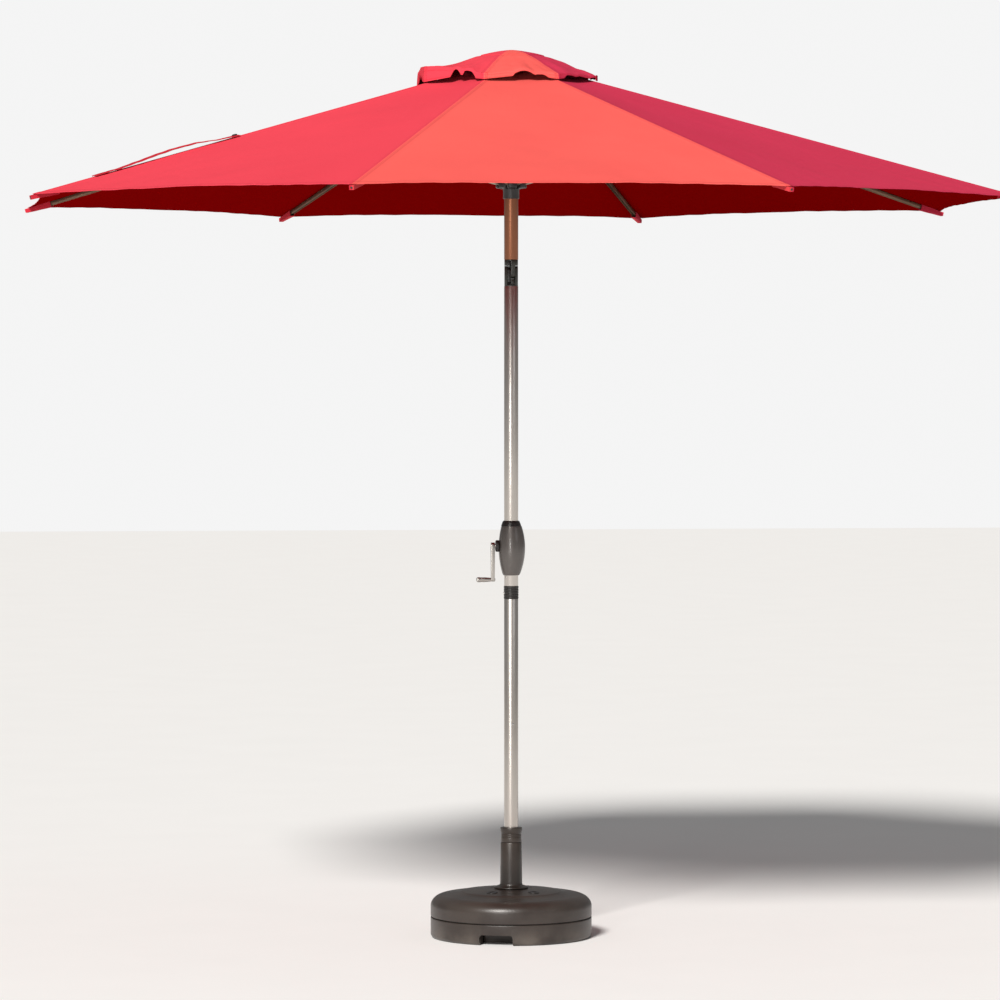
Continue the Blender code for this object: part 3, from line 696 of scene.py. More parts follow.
upper_profile = [(CAVITY_RADIUS, SEAM_Z + 0.0002), (BASE_RADIUS - 0.0060, SEAM_Z + 0.0002)]
upper_profile += [(BASE_RADIUS - 0.0060, SEAM_Z + 0.0012)]
upper_profile += arc((BASE_RADIUS - 0.0022, SEAM_Z + 0.0034), 0.0022, -90, 0, 5)
upper_profile += [
    (0.1800 + 0.0380 * math.cos(a), 0.0840 + 0.0315 * math.sin(a))
    for a in [math.radians(90 * i / 20) for i in range(21)]
]
upper_profile += [(0.1600, 0.1186), (PAD_OUTER + 0.0030, 0.1217), (PAD_OUTER, 0.1241)]
upper_profile += [(0.1100, 0.1264), (0.0800, 0.1292), (PAD_INNER + 0.0016, 0.1309)]
upper_profile += [(PAD_INNER, 0.1296), (0.0500, 0.1302), (STEM_HOLE, CROWN_Z)]
upper_profile += [(STEM_HOLE, 0.1200), (0.1150, 0.1130), (CAVITY_RADIUS, 0.1020)]
upper_profile += [(CAVITY_RADIUS, SEAM_Z + 0.0002)]
tank_upper = turned("tank_upper", upper_profile, 160, bevel=0.0004)
fitted(tank_upper, "base", base_plastic, "base_plastic", "base_upper")

# %% [markdown]
# The fill caps are flat plugs with a coin slot, pressed into the pad. One is modelled and copied.

# %% Fill caps
CAP_REACH, CAP_TURNS = 0.0980, (-58.0, -128.0)
plug_profile = [(0, -0.004), (0.0150, -0.004), (0.0150, 0.0009), (0.0142, 0.0018), (0.0105, 0.0018)]
plug_profile += [(0.0098, 0.0012), (0, 0.0012)]
for number, turn in enumerate(CAP_TURNS, 1):
    fill_cap = turned(f"fill_cap_{number}", plug_profile, 48, bevel=0.0003)
    cut(fill_cap, block("slot", (-0.0062, -0.0009, 0.0004), (0.0062, 0.0009, 0.004), 0.0002))
    tipped = round_z(turn) @ at(CAP_REACH, 0, 0.1275) @ Matrix.Rotation(math.radians(5.5), 4, "Y")
    moved(fill_cap, tipped)
    fitted(fill_cap, "base", black_plastic, "base_plastic")
painted(fill_material, "base_ballast")
painted(grip_rubber, "grip_sleeve")

# %% [markdown]
# ## Stem, foot flange and clamp collar
#
# The stem is a moulded tube that tapers slightly, so that it leaves its mould. The collar grips the mast
# when it is turned; its rings give the hand a hold, so they are grooves in the profile.

# %% Stem
STEM_FOOT, STEM_RADIUS, STEM_SHOULDER, STEM_TOP = 0.0060, 0.0300, 0.2560, 0.2860
stem_profile = [(0.0001, STEM_FOOT), (STEM_RADIUS, STEM_FOOT), (STEM_RADIUS, 0.1500)]
stem_profile += [(0.0292, 0.2050), (0.0284, STEM_SHOULDER - 0.0020), (0.0276, STEM_SHOULDER)]
stem_profile += [(0.0245, STEM_SHOULDER + 0.0004), (0.0245, STEM_TOP), (0.0213, STEM_TOP), (0.0213, 0.0102)]
stem_profile += [(0.0001, 0.0102), (0.0001, STEM_FOOT)]
fitted(turned("stem", stem_profile, 96), "base", stem_plastic, "base_plastic", "base_stem")

flange_profile = [(STEM_HOLE, 0.1325), (0.0458, 0.1325)] + arc((0.0446, 0.1345), 0.0014, 0, 90, 4)
flange_profile += [(0.0400, 0.1376), (0.0345, 0.1393)] + arc((0.0345, 0.1435), 0.0040, 270, 185, 6)
flange_profile += [(STEM_HOLE, 0.1440), (STEM_HOLE, 0.1325)]
fitted(turned("foot_flange", flange_profile, 96, 0.0002), "base", stem_plastic, "base_plastic", "stem_flange")

# %% Clamp collar
COLLAR_LOW, COLLAR_HIGH = (corner.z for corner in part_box("stem_collar"))
collar_profile = [(0.0248, COLLAR_LOW), (0.0281, COLLAR_LOW), (0.0274, 0.2665)]
for groove in (0.2700, 0.2745, 0.2790):
    collar_profile += arc((0.0274, groove), 0.0009, -90, -270, 6)
collar_profile += [(0.0283, 0.2840), (0.0295, 0.2880)] + arc((0.0281, 0.2945), 0.0016, 0, 90, 6)
collar_profile += [(0.0197, COLLAR_HIGH), (0.0197, 0.2868), (0.0248, 0.2868), (0.0248, COLLAR_LOW)]
clamp_collar = turned("clamp_collar", collar_profile, 96, 0.0002)
fitted(clamp_collar, "collar", stem_plastic, "base_plastic", "stem_collar")

# %% [markdown]
# ## The mast
#
# Two drawn tubes meet in a coupler with raised bands, and a sprung button locks them. The tubes are
# turned again with 128 steps, because a shiny tube shows every facet.

# %% Mast tubes
TUBE_STEPS = 128


def mast_tube(name, node, outer, body, finish, slot):
    low, high = (corner.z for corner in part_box(node))
    profile = tube_profile(outer, outer - POLE_WALL, low, high)
    return fitted(turned(name, profile, TUBE_STEPS, 0.0003), body, finish, slot, node)


mast_tube("lower_tube", "lower_pole", POLE_RADIUS, "mast", tube_metal, "pole_metal")
mast_tube("middle_tube", "mid_pole", POLE_RADIUS, "mast", tube_metal, "pole_metal")
mast_tube("upper_tube", "upper_pole", POLE_RADIUS, "head", upper_tube_metal, "upper_pole_metal")

# %% Coupler, button and rivet
COUPLER_LOW, COUPLER_HIGH = 0.9151, 0.9500
BAND_COUNT = 5

coupler_profile = [(0.0155, 0.8400), (0.0174, 0.8400), (0.0174, COUPLER_LOW), (0.0196, COUPLER_LOW)]
band = (COUPLER_HIGH - COUPLER_LOW) / BAND_COUNT
for number in range(BAND_COUNT):
    foot = COUPLER_LOW + band * number
    coupler_profile += [(0.0192, foot + 0.0006), (0.0200, foot + 0.0012), (0.0200, foot + band - 0.0012)]
    coupler_profile += [(0.0192, foot + band - 0.0006)]
coupler_profile += [(0.0196, COUPLER_HIGH), (0.0174, COUPLER_HIGH), (0.0174, 0.9800), (0.0155, 0.9800)]
coupler_profile += [(0.0155, 0.8400)]
coupler = turned("coupler", coupler_profile, 96, 0.0002)
cut(coupler, block("notch", (-0.024, -0.0042, 0.9240), (-0.0180, 0.0042, 0.9360), 0.001))
fitted(coupler, "mast", black_plastic, "dark_plastic", "pole_coupler")

button_profile = [(0.0001, -0.0128), (0.0046, -0.0128), (0.0046, -0.0140), (0.0032, -0.0142)]
button_profile += [(0.0032, -0.0200)] + arc((0.0018, -0.0203), 0.0013, 0, -80, 4) + [(0.0001, -0.0218)]
snap_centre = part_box("snap_button")[0].z + 0.0046
snap = moved(turned("lock_button", button_profile, 32, 0), at(0, 0, snap_centre) @ ALONG_X)
fitted(snap, "snap", steel, "bright_steel", "snap_button")
rivet = refined("pole_rivet", "mast_rivet", 0.0002)
fitted(rivet, "mast", steel, "bright_steel", "pole_rivet")

# %% [markdown]
# ## The crank
#
# The housing is a barrel in two halves, swelling away from the crank. A profile is turned once, sheared a
# little to the side by moving each ring, and sawn into halves; the bevel on the sawn edges makes the seam.

# %% Crank housing
HOUSING_LOW, HOUSING_HIGH, RING_Z = 0.9790, 1.1260, 1.1120
SHELL_WALL = 0.0025


def barrel(height):
    """(radius, sideways shift) of the housing at a height."""
    share = (height - HOUSING_LOW) / (HOUSING_HIGH - HOUSING_LOW)
    swell = max(0.0, math.sin(math.pi * min(max(share, 0.0), 1.0))) ** 0.75
    return 0.0215 + 0.0143 * swell, 0.0020 * swell


def housing_half(name, side, node):
    heights = [HOUSING_LOW + (RING_Z - 0.0003 - HOUSING_LOW) * i / 40 for i in range(41)]
    outside = [(barrel(z)[0], z) for z in heights]
    inside = [(max(barrel(z)[0] - SHELL_WALL, 0.0195), z) for z in reversed(heights)]
    shell = turned(name, outside + inside + outside[:1], 96, 0)
    for vertex in shell.data.vertices:
        shift = barrel(vertex.co.z)[1] if vertex.co.xy.length > 0.0196 else 0
        vertex.co.x += shift
    low_y, high_y = sorted((side * 0.00015, side * 0.06))
    cut(shell, block("saw", (-0.06, low_y, 0.95), (0.06, high_y, 1.15), 0), "INTERSECT")
    for vertex in shell.data.vertices:
        vertex.co.z = min(max(vertex.co.z, HOUSING_LOW), RING_Z - 0.0003)
    softened(shell, 0.0007, 3, 40)
    return fitted(shell, "mast", housing_paint, "housing_plastic", node)


housing_half("housing_shell_front", -1, "housing_front")
housing_half("housing_shell_back", 1, "housing_back")

ring_heights = [RING_Z + (HOUSING_HIGH - RING_Z) * i / 12 for i in range(13)]
ring_profile = [(0.0193, RING_Z)] + [(barrel(z)[0], z) for z in ring_heights]
ring_profile += [(0.0193, HOUSING_HIGH), (0.0193, RING_Z)]
housing_cap = turned("housing_cap", ring_profile, 96, 0.0004)
fitted(housing_cap, "mast", black_plastic, "dark_plastic", "housing_ring")

# %% Housing screws and shaft bushing
for number, node in enumerate(("housing_screw_low", "housing_screw_high"), 1):
    screw = refined(node, f"shell_screw_{number}", 0.0002)
    middle = (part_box(node)[0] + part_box(node)[1]) / 2
    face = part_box(node)[1].y
    for wide, tall in ((0.0022, 0.0004), (0.0004, 0.0022)):
        low = (middle.x - wide, face - 0.0009, middle.z - tall)
        high = (middle.x + wide, face + 0.002, middle.z + tall)
        cut(screw, block("cross", low, high, 0))
    fitted(screw, "mast", steel, "bright_steel", node)

bushing_profile = [(0.0044, -0.0425), (0.0132, -0.0425)] + arc((0.0132, -0.0400), 0.0025, -90, 0, 6)
bushing_profile += [(0.0160, -0.0342), (0.0044, -0.0342), (0.0044, -0.0425)]
bushing = moved(turned("shaft_bushing", bushing_profile, 64, 0.0002), at(0, 0, CRANK_Z) @ ALONG_X)
fitted(bushing, "mast", black_plastic, "dark_plastic", "crank_bushing")

# %% Crank arm, pin and knob
fitted(refined("crank_shaft", "winding_shaft", 0.0003), "crank", steel, "bright_steel", "crank_shaft")
fitted(refined("crank_arm", "handle_arm", 0.0012), "crank", crank_metal, "crank_metal", "crank_arm")
fitted(refined("crank_pin", "handle_pin", 0.0002), "crank", steel, "bright_steel", "crank_pin")

knob_profile = [(0.0028, -0.0555), (0.0048, -0.0555)] + arc((0.0044, -0.0566), 0.0010, 70, 0, 4)
knob_profile += [(0.0056, -0.0600), (0.0063, -0.0700)]
for groove in (0.0745, 0.0785, 0.0825):
    knob_profile += arc((0.0066, -groove), 0.0007, 90, 270, 5)
knob_profile += [(0.0068, -0.0860)] + arc((0.0023, -0.0900), 0.0045, 0, -90, 8)
knob_profile += [(0.0001, -0.0945), (0.0001, -0.0933), (0.0028, -0.0933), (0.0028, -0.0555)]
knob_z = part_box("crank_knob")[0].z / 2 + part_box("crank_knob")[1].z / 2
handle_knob = moved(turned("handle_knob", knob_profile, 48, 0), at(0, 0, knob_z) @ ALONG_X)
fitted(handle_knob, "knob", crank_metal, "knob_plastic", "crank_knob")

# %% [markdown]
# ## Tilt joint, hub and runner
#
# These parts carry slots and drilled holes that the solids already have. A merged copy with rounded edges
# is the quickest true shape, and the rounding is what catches the light.

# %% Tilt joint
fitted(refined("tilt_fork", "joint_fork", 0.0006), "mast", joint_plastic, "tilt_joint", "tilt_fork")
fitted(refined("tilt_tongue", "joint_tongue", 0.0006), "head", joint_plastic, "tilt_joint", "tilt_tongue")
fitted(refined("tilt_pin", "joint_pin", 0.0003), "mast", steel, "bright_steel", "tilt_pin")

# The release's spring box fills the slot behind the button, so that nobody can look through the joint. Its
# top is part of a disc round the pin, which the head swings over; the two liners close what is left.
BOX_LEFT, BOX_RIGHT, LINER_RIGHT = -0.0117, -0.0025, 0.0087
SLOT_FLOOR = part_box("tilt_fork")[0].z + 0.0632
DISC_RADIUS, TONGUE_RADIUS = 0.0180, 0.0160
disc_profile = [(0, BOX_LEFT), (DISC_RADIUS, BOX_LEFT), (DISC_RADIUS, BOX_RIGHT), (0, BOX_RIGHT)]
spring_box = moved(turned("spring_box", disc_profile, 64, 0), at(0, 0, TILT_Z) @ ALONG_X)
cut(spring_box, block("front", (-0.03, -0.03, TILT_Z - 0.03), (0.03, -0.0044, TILT_Z + 0.03), 0))
box_foot = block("foot", (BOX_LEFT, -0.0044, SLOT_FLOOR), (BOX_RIGHT, 0.0136, TILT_Z), 0)
cut(spring_box, box_foot, "UNION")
softened(spring_box, 0.0003)
fitted(spring_box, "mast", black_plastic, "dark_plastic")

low_liner = (0.0, -0.0120, SLOT_FLOOR), (LINER_RIGHT, 0.0120, TILT_Z - TONGUE_RADIUS - 0.0004)
fork_liner = block("fork_liner", (BOX_RIGHT + 0.0004, *low_liner[0][1:]), low_liner[1], 0.0003)
fitted(fork_liner, "mast", joint_plastic, "tilt_joint")
head_floor, head_roof = TILT_Z + 0.0186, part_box("upper_pole")[0].z - 0.0029
head_liner = block("head_liner", (BOX_LEFT, -0.0120, head_floor), (BOX_RIGHT, 0.0130, head_roof), 0.0003)
fitted(head_liner, "head", black_plastic, "dark_plastic")
release_button = refined("tilt_button", "release_button", 0.0005)
fitted(release_button, "release", black_plastic, "dark_plastic", "tilt_button")

# %% Hub, crown, pulley and runner
fitted(refined("top_hub", "hub", 0.0006), "head", black_plastic, "dark_plastic", "top_hub")
fitted(refined("hub_wire", "hinge_wire", 0), "head", steel, "bright_steel", "hub_wire")
fitted(refined("crown_cap", "crown", 0.0006), "head", black_plastic, "dark_plastic", "crown_cap")
fitted(refined("pulley", "cord_pulley_wheel", 0.0002), "cord_pulley", black_plastic, "dark_plastic", "pulley")
fitted(refined("runner", "sliding_runner", 0.0006), "slider", black_plastic, "dark_plastic", "runner")

# %% [markdown]
# ## Ribs and stretchers
#
# A rib is a rolled channel, so its edges are round. Each has a dark end cap, and a riveted clip
# where its stretcher joins. The clip and the cap are modelled once on the first rib's line and turned to
# each of the eight bearings.

# %% Ribs
CLIP_REACH, CLIP_DROP = 0.5700, -0.0050
RIB_TOP = 0.0080  # over the rib's own line
TAPER = 0.1100


def on_rib(k):
    """From a rib's own line, X along it and Z across it, to its place."""
    turn = Matrix.Rotation(bearing_of(k), 4, "Z")
    return turn @ at(HUB_PIVOT, 0, HUB_Z) @ Matrix.Rotation(RIB_SLOPE, 4, "Y")


def rib_clip():
    """Two cheeks beside the rib, each with a rivet head."""
    cheeks = [
        block("cheek", (-0.016, y, -0.0100), (0.016, y + 0.0013, 0.0085), 0.0005)
        for y in (-0.0075, 0.0062)
    ]
    heads = []
    for side in (-1, 1):
        profile = [(0, 0.0073), (0.0036, 0.0073), (0.0034, 0.0082), (0.0022, 0.0090), (0, 0.0092)]
        facing = Matrix.Rotation(-side * math.pi / 2, 4, "X")
        heads.append(moved(turned("head", profile, 20, 0), facing))
    return moved(joined(cheeks + heads, "clip"), at(CLIP_REACH, 0, CLIP_DROP))


def tapered(piece, k, share=0.45):
    """Narrows what lies on rib k over its last stretch, towards the top edge."""
    to_rib = on_rib(k).inverted()
    back = on_rib(k)
    for vertex in piece.data.vertices:
        place = to_rib @ vertex.co
        end = min(1.0, max(0.0, (place.x - RIB_LENGTH + TAPER) / TAPER))
        place.z = RIB_TOP - (RIB_TOP - place.z) * (1 - share * end)
        place.y *= 1 - 0.3 * end
        vertex.co = back @ place
    return piece


def rib_tip():
    """The button on the rib's end, which keeps the pocket from slipping."""
    profile = [(0, -0.0060), (0.0034, -0.0060), (0.0034, 0.0004)] + arc((0.0020, 0.0004), 0.0014, 0, 90, 4)
    profile += [(0, 0.0018)]
    return moved(turned("tip", profile, 24, 0), at(RIB_LENGTH, 0, 0.0034) @ ALONG_X)


clip_pattern, tip_pattern = rib_clip(), rib_tip()
for k in range(1, RIB_COUNT + 1):
    body = f"rib_body_{k}"
    bar = tapered(refined(f"rib_{k}", f"rib_bar_{k}", 0.0008), k)
    fitted(bar, body, rib_paint, "rib_metal", f"rib_{k}")
    fitted(copied(clip_pattern, f"rib_clip_{k}", on_rib(k)), body, rib_paint, "rib_metal")
    fitted(copied(tip_pattern, f"rib_tip_{k}", on_rib(k)), body, black_plastic, "dark_plastic")
    stay = refined(f"stretcher_{k}", f"stretcher_bar_{k}", 0.0008)
    fitted(stay, f"stretcher_body_{k}", stretcher_paint, "stretcher_metal", f"stretcher_{k}")
for pattern in (clip_pattern, tip_pattern):
    bpy.data.objects.remove(pattern)

# %% [markdown]
# ## The canopy
#
# The canopy is one cloth, sewn from triangular panels that meet in a seam over each rib. It can't be one
# mesh here, because it folds with the ribs, so it is divided where cloth is calmest: in the middle of
# each bay. Every piece is centred on a rib, and neighbours meet edge to edge with the same heights.
#
# A grid is laid out in rows and columns, and then every vertex is put in its place by a formula. The cloth
# hangs a little between two ribs, its hem is drawn in between the tips, and the seam puckers it. Rows and
# columns stand closer together at the hem and at the seam, where the cloth is doubled.

# %% Canopy shape
CLOTH = 0.0010
TOP_HEM = 0.0580
SAG = 0.0070
DRAWN_IN = 0.0150
CORNER_PULL = 0.0120  # the pocket pulls each corner out to the rib's tip
SEAM_STEPS = (0, 0.0020, 0.0080, 0.0100)
HEM_STEPS = (0.0210, 0.0190, 0.0175, 0.0100, 0.0030, 0)
COLUMNS, ROWS = 26, 84  # on each side of the rib, and along it
HALF_BAY = BAY / 2


def cloth_height(reach):
    return CANOPY_APEX_Z - reach * math.tan(RIB_SLOPE)


def stepped(index, count, steps):
    """Puts the first grid lines at the given distances. It returns (distance, share of what is left)."""
    last = len(steps) - 1
    if index <= last:
        return steps[index], 0.0
    return steps[last], (index - last) / (count - last)


def canopy_point(k, reach, across):
    """A point of the cloth at a reach along rib k and a distance across it."""
    half = reach * math.cos(HALF_BAY) * math.sin(HALF_BAY)
    share = min(1.0, abs(across) / half)
    along = (reach - TOP_HEM) / (CANOPY_CORNER - TOP_HEM)
    hollow = share * (2 - share)
    drawn = DRAWN_IN * hollow * max(0.0, (along - 0.55) / 0.45) ** 2
    drawn -= CORNER_PULL * (1 - share) ** 5 * max(0.0, (along - 0.80) / 0.20) ** 2
    reach -= drawn
    x = reach - abs(across) * math.tan(HALF_BAY)
    bearing = bearing_of(k)
    place = Vector((
        x * math.cos(bearing) - across * math.sin(bearing),
        x * math.sin(bearing) + across * math.cos(bearing),
        cloth_height(reach),
    ))
    folds = 0.0030 * noise.noise(place * 4.0) + 0.0011 * noise.noise(place * 13.0)
    tension = 0.0016 * math.sin(38 * share * along + 5 * noise.noise(place * 2.0)) * along ** 3
    place.z += hollow * (folds + tension * (1 - share)) - SAG * hollow * math.sin(math.pi * along) ** 0.7
    away = abs(across)
    pucker = math.sin(reach * math.tau / 0.037 + 3 * noise.noise(place * 9.0)) * math.exp(-away / 0.022)
    place.z += 0.0005 * pucker * min(1.0, away / 0.008)
    if away < 0.0085:
        place.z += 0.0007
    if CANOPY_CORNER - reach - drawn < 0.0180:
        place.z += 0.0007
    return place


def mapped_grid(name, columns, rows, place, chart):
    """A grid whose vertices are placed one by one, with a UV map in metres."""
    deselect()
    bpy.ops.mesh.primitive_grid_add(x_subdivisions=columns, y_subdivisions=rows, size=2)
    piece = leave(bpy.context.object, name)
    mesh = piece.data
    cells = {
        vertex.index: (round((vertex.co.x + 1) / 2 * columns), round((vertex.co.y + 1) / 2 * rows))
        for vertex in mesh.vertices
    }
    for vertex in mesh.vertices:
        vertex.co = place(*cells[vertex.index])
    chart_layer = mesh.uv_layers["UVMap"]
    for loop in mesh.loops:
        chart_layer.data[loop.index].uv = chart(*cells[loop.vertex_index])
    if sum(face.normal.z for face in mesh.polygons) < 0:
        edit(piece)
        bpy.ops.mesh.flip_normals()
        leave(piece)
    return piece


def cloth_thickness(piece, thickness=CLOTH, inner_slot=1):
    """Gives the cloth its thickness below the upper face; the inner side takes the second material, on the
    canopy the painted shade of its underside.
    """
    modified(
        piece, "SOLIDIFY", thickness=thickness, offset=-1.0, use_even_offset=True,
        material_offset=inner_slot,
    )
    return softened(piece, 0, angle=42)


print("canopy: sag", SAG, "m, hem drawn in", DRAWN_IN, "m")

# %% Canopy pieces


def gore(k):
    def lines(column, row):
        """(reach, distance across) of a grid crossing."""
        back = ROWS - row
        from_hem, rest = stepped(back, ROWS, tuple(reversed(HEM_STEPS)))
        reach = CANOPY_CORNER - from_hem
        reach -= rest * (reach - TOP_HEM)
        side = column - COLUMNS
        half = reach * math.cos(HALF_BAY) * math.sin(HALF_BAY)
        near, rest = stepped(abs(side), COLUMNS, SEAM_STEPS)
        across = near + rest * (half - near)
        return reach, math.copysign(across, side)

    def place(column, row):
        return canopy_point(k, *lines(column, row))

    def chart(column, row):
        reach, across = lines(column, row)
        return across, (CANOPY_CORNER - reach) / math.cos(RIB_SLOPE)

    return mapped_grid(f"canopy_{k}", 2 * COLUMNS, ROWS, place, chart)


def folds_with(piece, k):
    """Gives the piece its own copy of its mesh."""
    bearing = bearing_of(k)
    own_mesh(piece)


for k in range(1, RIB_COUNT + 1):
    piece = gore(k)
    fitted(piece, f"rib_body_{k}", (canopy_red, canopy_inner), "canopy_cloth", f"canopy_panel_{k}")
    cloth_thickness(piece)
    folds_with(piece, k)

# %% [markdown]
# A sleeve of the same cloth is sewn under each corner, and the rib's end slips into it. It starts as a
# cube without its inner end, is subdivided and ruffled a little, and is then given a thickness.

# %% Rib pockets
POCKET_LENGTH = 0.0780


def pocket(k):
    deselect()
    bpy.ops.mesh.primitive_cube_add(size=1)
    piece = bpy.context.object
    edit(piece)
    end = RIB_LENGTH + 0.0012
    bpy.ops.transform.resize(value=(POCKET_LENGTH, 0.0172, 0.0190))
    bpy.ops.transform.translate(value=(end - POCKET_LENGTH / 2, 0, -0.0006))
    leave(piece, f"rib_pocket_{k}")
    for part in (*piece.data.vertices, *piece.data.edges):
        part.select = False
    for face in piece.data.polygons:
        face.select = face.normal.x < -0.9
    bpy.context.tool_settings.mesh_select_mode = (False, False, True)
    bpy.ops.object.mode_set(mode="EDIT")
    bpy.ops.mesh.delete(type="FACE")
    bpy.ops.mesh.select_all(action="SELECT")
    bpy.ops.mesh.subdivide(number_cuts=9)
    leave(piece)
    for vertex in piece.data.vertices:
        ruffle = noise.noise(vertex.co * 60 + Vector((k, 0, 0)))
        if vertex.co.z < 0.0080:
            vertex.co.z += 0.0010 * ruffle
            vertex.co.y *= 1 + 0.05 * ruffle
    modified(piece, "SOLIDIFY", thickness=0.0009, offset=-1.0)
    softened(piece, 0)
    tapered(moved(piece, on_rib(k)), k)
    return fitted(piece, f"rib_body_{k}", webbing_red, "canopy_cloth")


for k in range(1, RIB_COUNT + 1):
    sleeve = pocket(k)

# %% [markdown]
# ## The vent cap
#
# The cap is a second small canopy that lets the wind out. Its skirt is tied down at the ribs and stands
# open in arches between them. The corners don't sit alike, as on any cap that has been in use: each has
# its own lift. The cap folds with the ribs, so it has a petal on each rib, and a crown cover over them.

# %% Vent cap shape
CAP_PEAK = CANOPY_APEX_Z + 0.0245
CAP_CORNER = 0.2620
CAP_START = 0.0500
COVER_RADIUS = 0.0920
CORNER_LIFTS = (0.010, 0.012, 0.014, 0.029, 0.032, 0.010, 0.008, 0.010)
CORNER_PULLS = (0.885, 0.950, 1.000, 1.005, 1.010, 1.000, 0.975, 0.895)
# Where the skirt stands open: bearing and half width in degrees, and height
ARCHES = (
    (236.5, 5.0, 0.026), (227.0, 4.2, 0.020), (271.5, 6.5, 0.030), (282.0, 5.0, 0.008), (304.0, 6.0, 0.010),
    (336.0, 5.0, 0.012), (12.0, 8.0, 0.018), (46.0, 7.0, 0.024), (88.0, 9.0, 0.020), (99.0, 5.0, 0.014),
    (134.0, 7.0, 0.026), (178.0, 6.0, 0.016), (189.0, 5.0, 0.012),
)


def between_ribs(values, bearing):
    """A value that each rib has, eased from one rib to the next."""
    place = (bearing / BAY - 0.5) % RIB_COUNT
    low = int(place)
    share = place - low
    ease = share * share * (3 - 2 * share)
    return values[low % RIB_COUNT] * (1 - ease) + values[(low + 1) % RIB_COUNT] * ease


def arch_height(bearing):
    """How far the skirt's edge is pushed up at a bearing."""
    total = 0.0
    for middle, half_width, height in ARCHES:
        away = (math.degrees(bearing) - middle + 180) % 360 - 180
        if abs(away) < half_width:
            total = max(total, height * math.cos(away / half_width * math.pi / 2) ** 0.8)
    return total


def cap_height(reach, bearing):
    share = reach / CAP_CORNER
    across = abs(math.sin((bearing - HALF_BAY) * RIB_COUNT / 2))
    ridge = CAP_PEAK - (CAP_PEAK - cloth_height(CAP_CORNER) - 0.011) * share ** 1.55
    outer = max(0.0, (share - 0.55) / 0.45)
    rumple = Vector((math.cos(bearing), math.sin(bearing), reach * 6))
    wave = 0.0035 * noise.noise(rumple * 3.1) + 0.0018 * noise.noise(rumple * 8.0)
    pushed = 0.30 * arch_height(bearing) * outer
    lift = between_ribs(CORNER_LIFTS, bearing) * outer ** 2
    return ridge + lift + across * share ** 2 * 0.004 + wave * share + pushed


def cap_point(reach, bearing, drop=0.0):
    from_rib = abs((bearing % BAY) - HALF_BAY)
    outer = max(0.0, reach / CAP_CORNER - 0.35) / 0.65
    pull = 1 + (between_ribs(CORNER_PULLS, bearing) - 1) * outer
    radius = pull * reach * math.cos(HALF_BAY) / math.cos(HALF_BAY - from_rib)
    height = cap_height(reach, bearing)
    return Vector((radius * math.cos(bearing), radius * math.sin(bearing), height - drop))


def skirt_bottom(bearing):
    """The skirt's lower edge: on the canopy, or in an arch over it."""
    edge = cap_point(CAP_CORNER, bearing)
    from_rib = abs((bearing % BAY) - HALF_BAY)
    resting = cloth_height(edge.xy.length * math.cos(from_rib)) + 0.0040
    return min(edge.z - 0.0060, resting + arch_height(bearing))


# %% Vent cap petals
PETAL_COLUMNS, PETAL_ROWS, SKIRT_ROWS = 32, 22, 6


def petal(k):
    def lines(column, row):
        turn = bearing_of(k) + HALF_BAY * (column / PETAL_COLUMNS * 2 - 1)
        top_share = min(1.0, row / PETAL_ROWS)
        return turn, CAP_START + (CAP_CORNER - CAP_START) * top_share

    def place(column, row):
        bearing, reach = lines(column, row)
        tucked = 0.0020 * max(0.0, 1 - max(0.0, reach - COVER_RADIUS) / 0.015)
        if row <= PETAL_ROWS:
            return cap_point(reach, bearing, tucked)
        top = cap_point(CAP_CORNER, bearing)
        down = (row - PETAL_ROWS) / SKIRT_ROWS
        flare = 1 + 0.010 * math.sin(down * math.pi / 2)
        return Vector((top.x * flare, top.y * flare, top.z + (skirt_bottom(bearing) - top.z) * down))

    def chart(column, row):
        bearing, reach = lines(column, row)
        down = max(0, row - PETAL_ROWS) * 0.004
        return (bearing - bearing_of(k)) * reach, CAP_CORNER - reach + 0.024 - down

    piece = mapped_grid(f"vent_petal_{k}", PETAL_COLUMNS, PETAL_ROWS + SKIRT_ROWS, place, chart)
    replaced = ("vent_cap",) if k == 1 else ()
    fitted(piece, f"rib_body_{k}", (canopy_red, canopy_inner), "canopy_cloth", *replaced)
    cloth_thickness(piece)
    folds_with(piece, k)
    return piece


OUTER_TIES = (1, 8)
TIE_OUTSIDE, TIE_BEHIND = 1.012, 0.985  # share of the corner's reach, outside the skirt or behind it


def tie(k):
    """A short strap that holds the cap's corner down to the canopy."""
    bearing = bearing_of(k)
    corner = cap_point(CAP_CORNER, bearing)
    reach = corner.xy.length * (TIE_OUTSIDE if k in OUTER_TIES else TIE_BEHIND)
    low = cloth_height(reach) + 0.0030
    strap = block("tie", (reach, -0.0090, low), (reach + 0.0014, 0.0090, corner.z + 0.0010), 0.0005)
    moved(strap, Matrix.Rotation(bearing, 4, "Z"))
    strap.name = strap.data.name = f"cap_tie_{k}"
    return fitted(strap, f"rib_body_{k}", webbing_red, "canopy_cloth")


for k in range(1, RIB_COUNT + 1):
    piece = petal(k)
    tie(k)

# %% Crown cover
COVER_ROWS, COVER_COLUMNS = 10, 64


def cover_place(column, row):
    bearing = math.tau * column / COVER_COLUMNS
    if row == COVER_ROWS:
        rim = cap_point(COVER_RADIUS, bearing)
        return Vector((rim.x, rim.y, rim.z - 0.0022))
    return cap_point(COVER_RADIUS * (row + 0.02) / (COVER_ROWS - 0.98), bearing)


def cover_chart(column, row):
    return (column / COVER_COLUMNS * 0.4, COVER_RADIUS * (1 - row / COVER_ROWS) + 0.001)


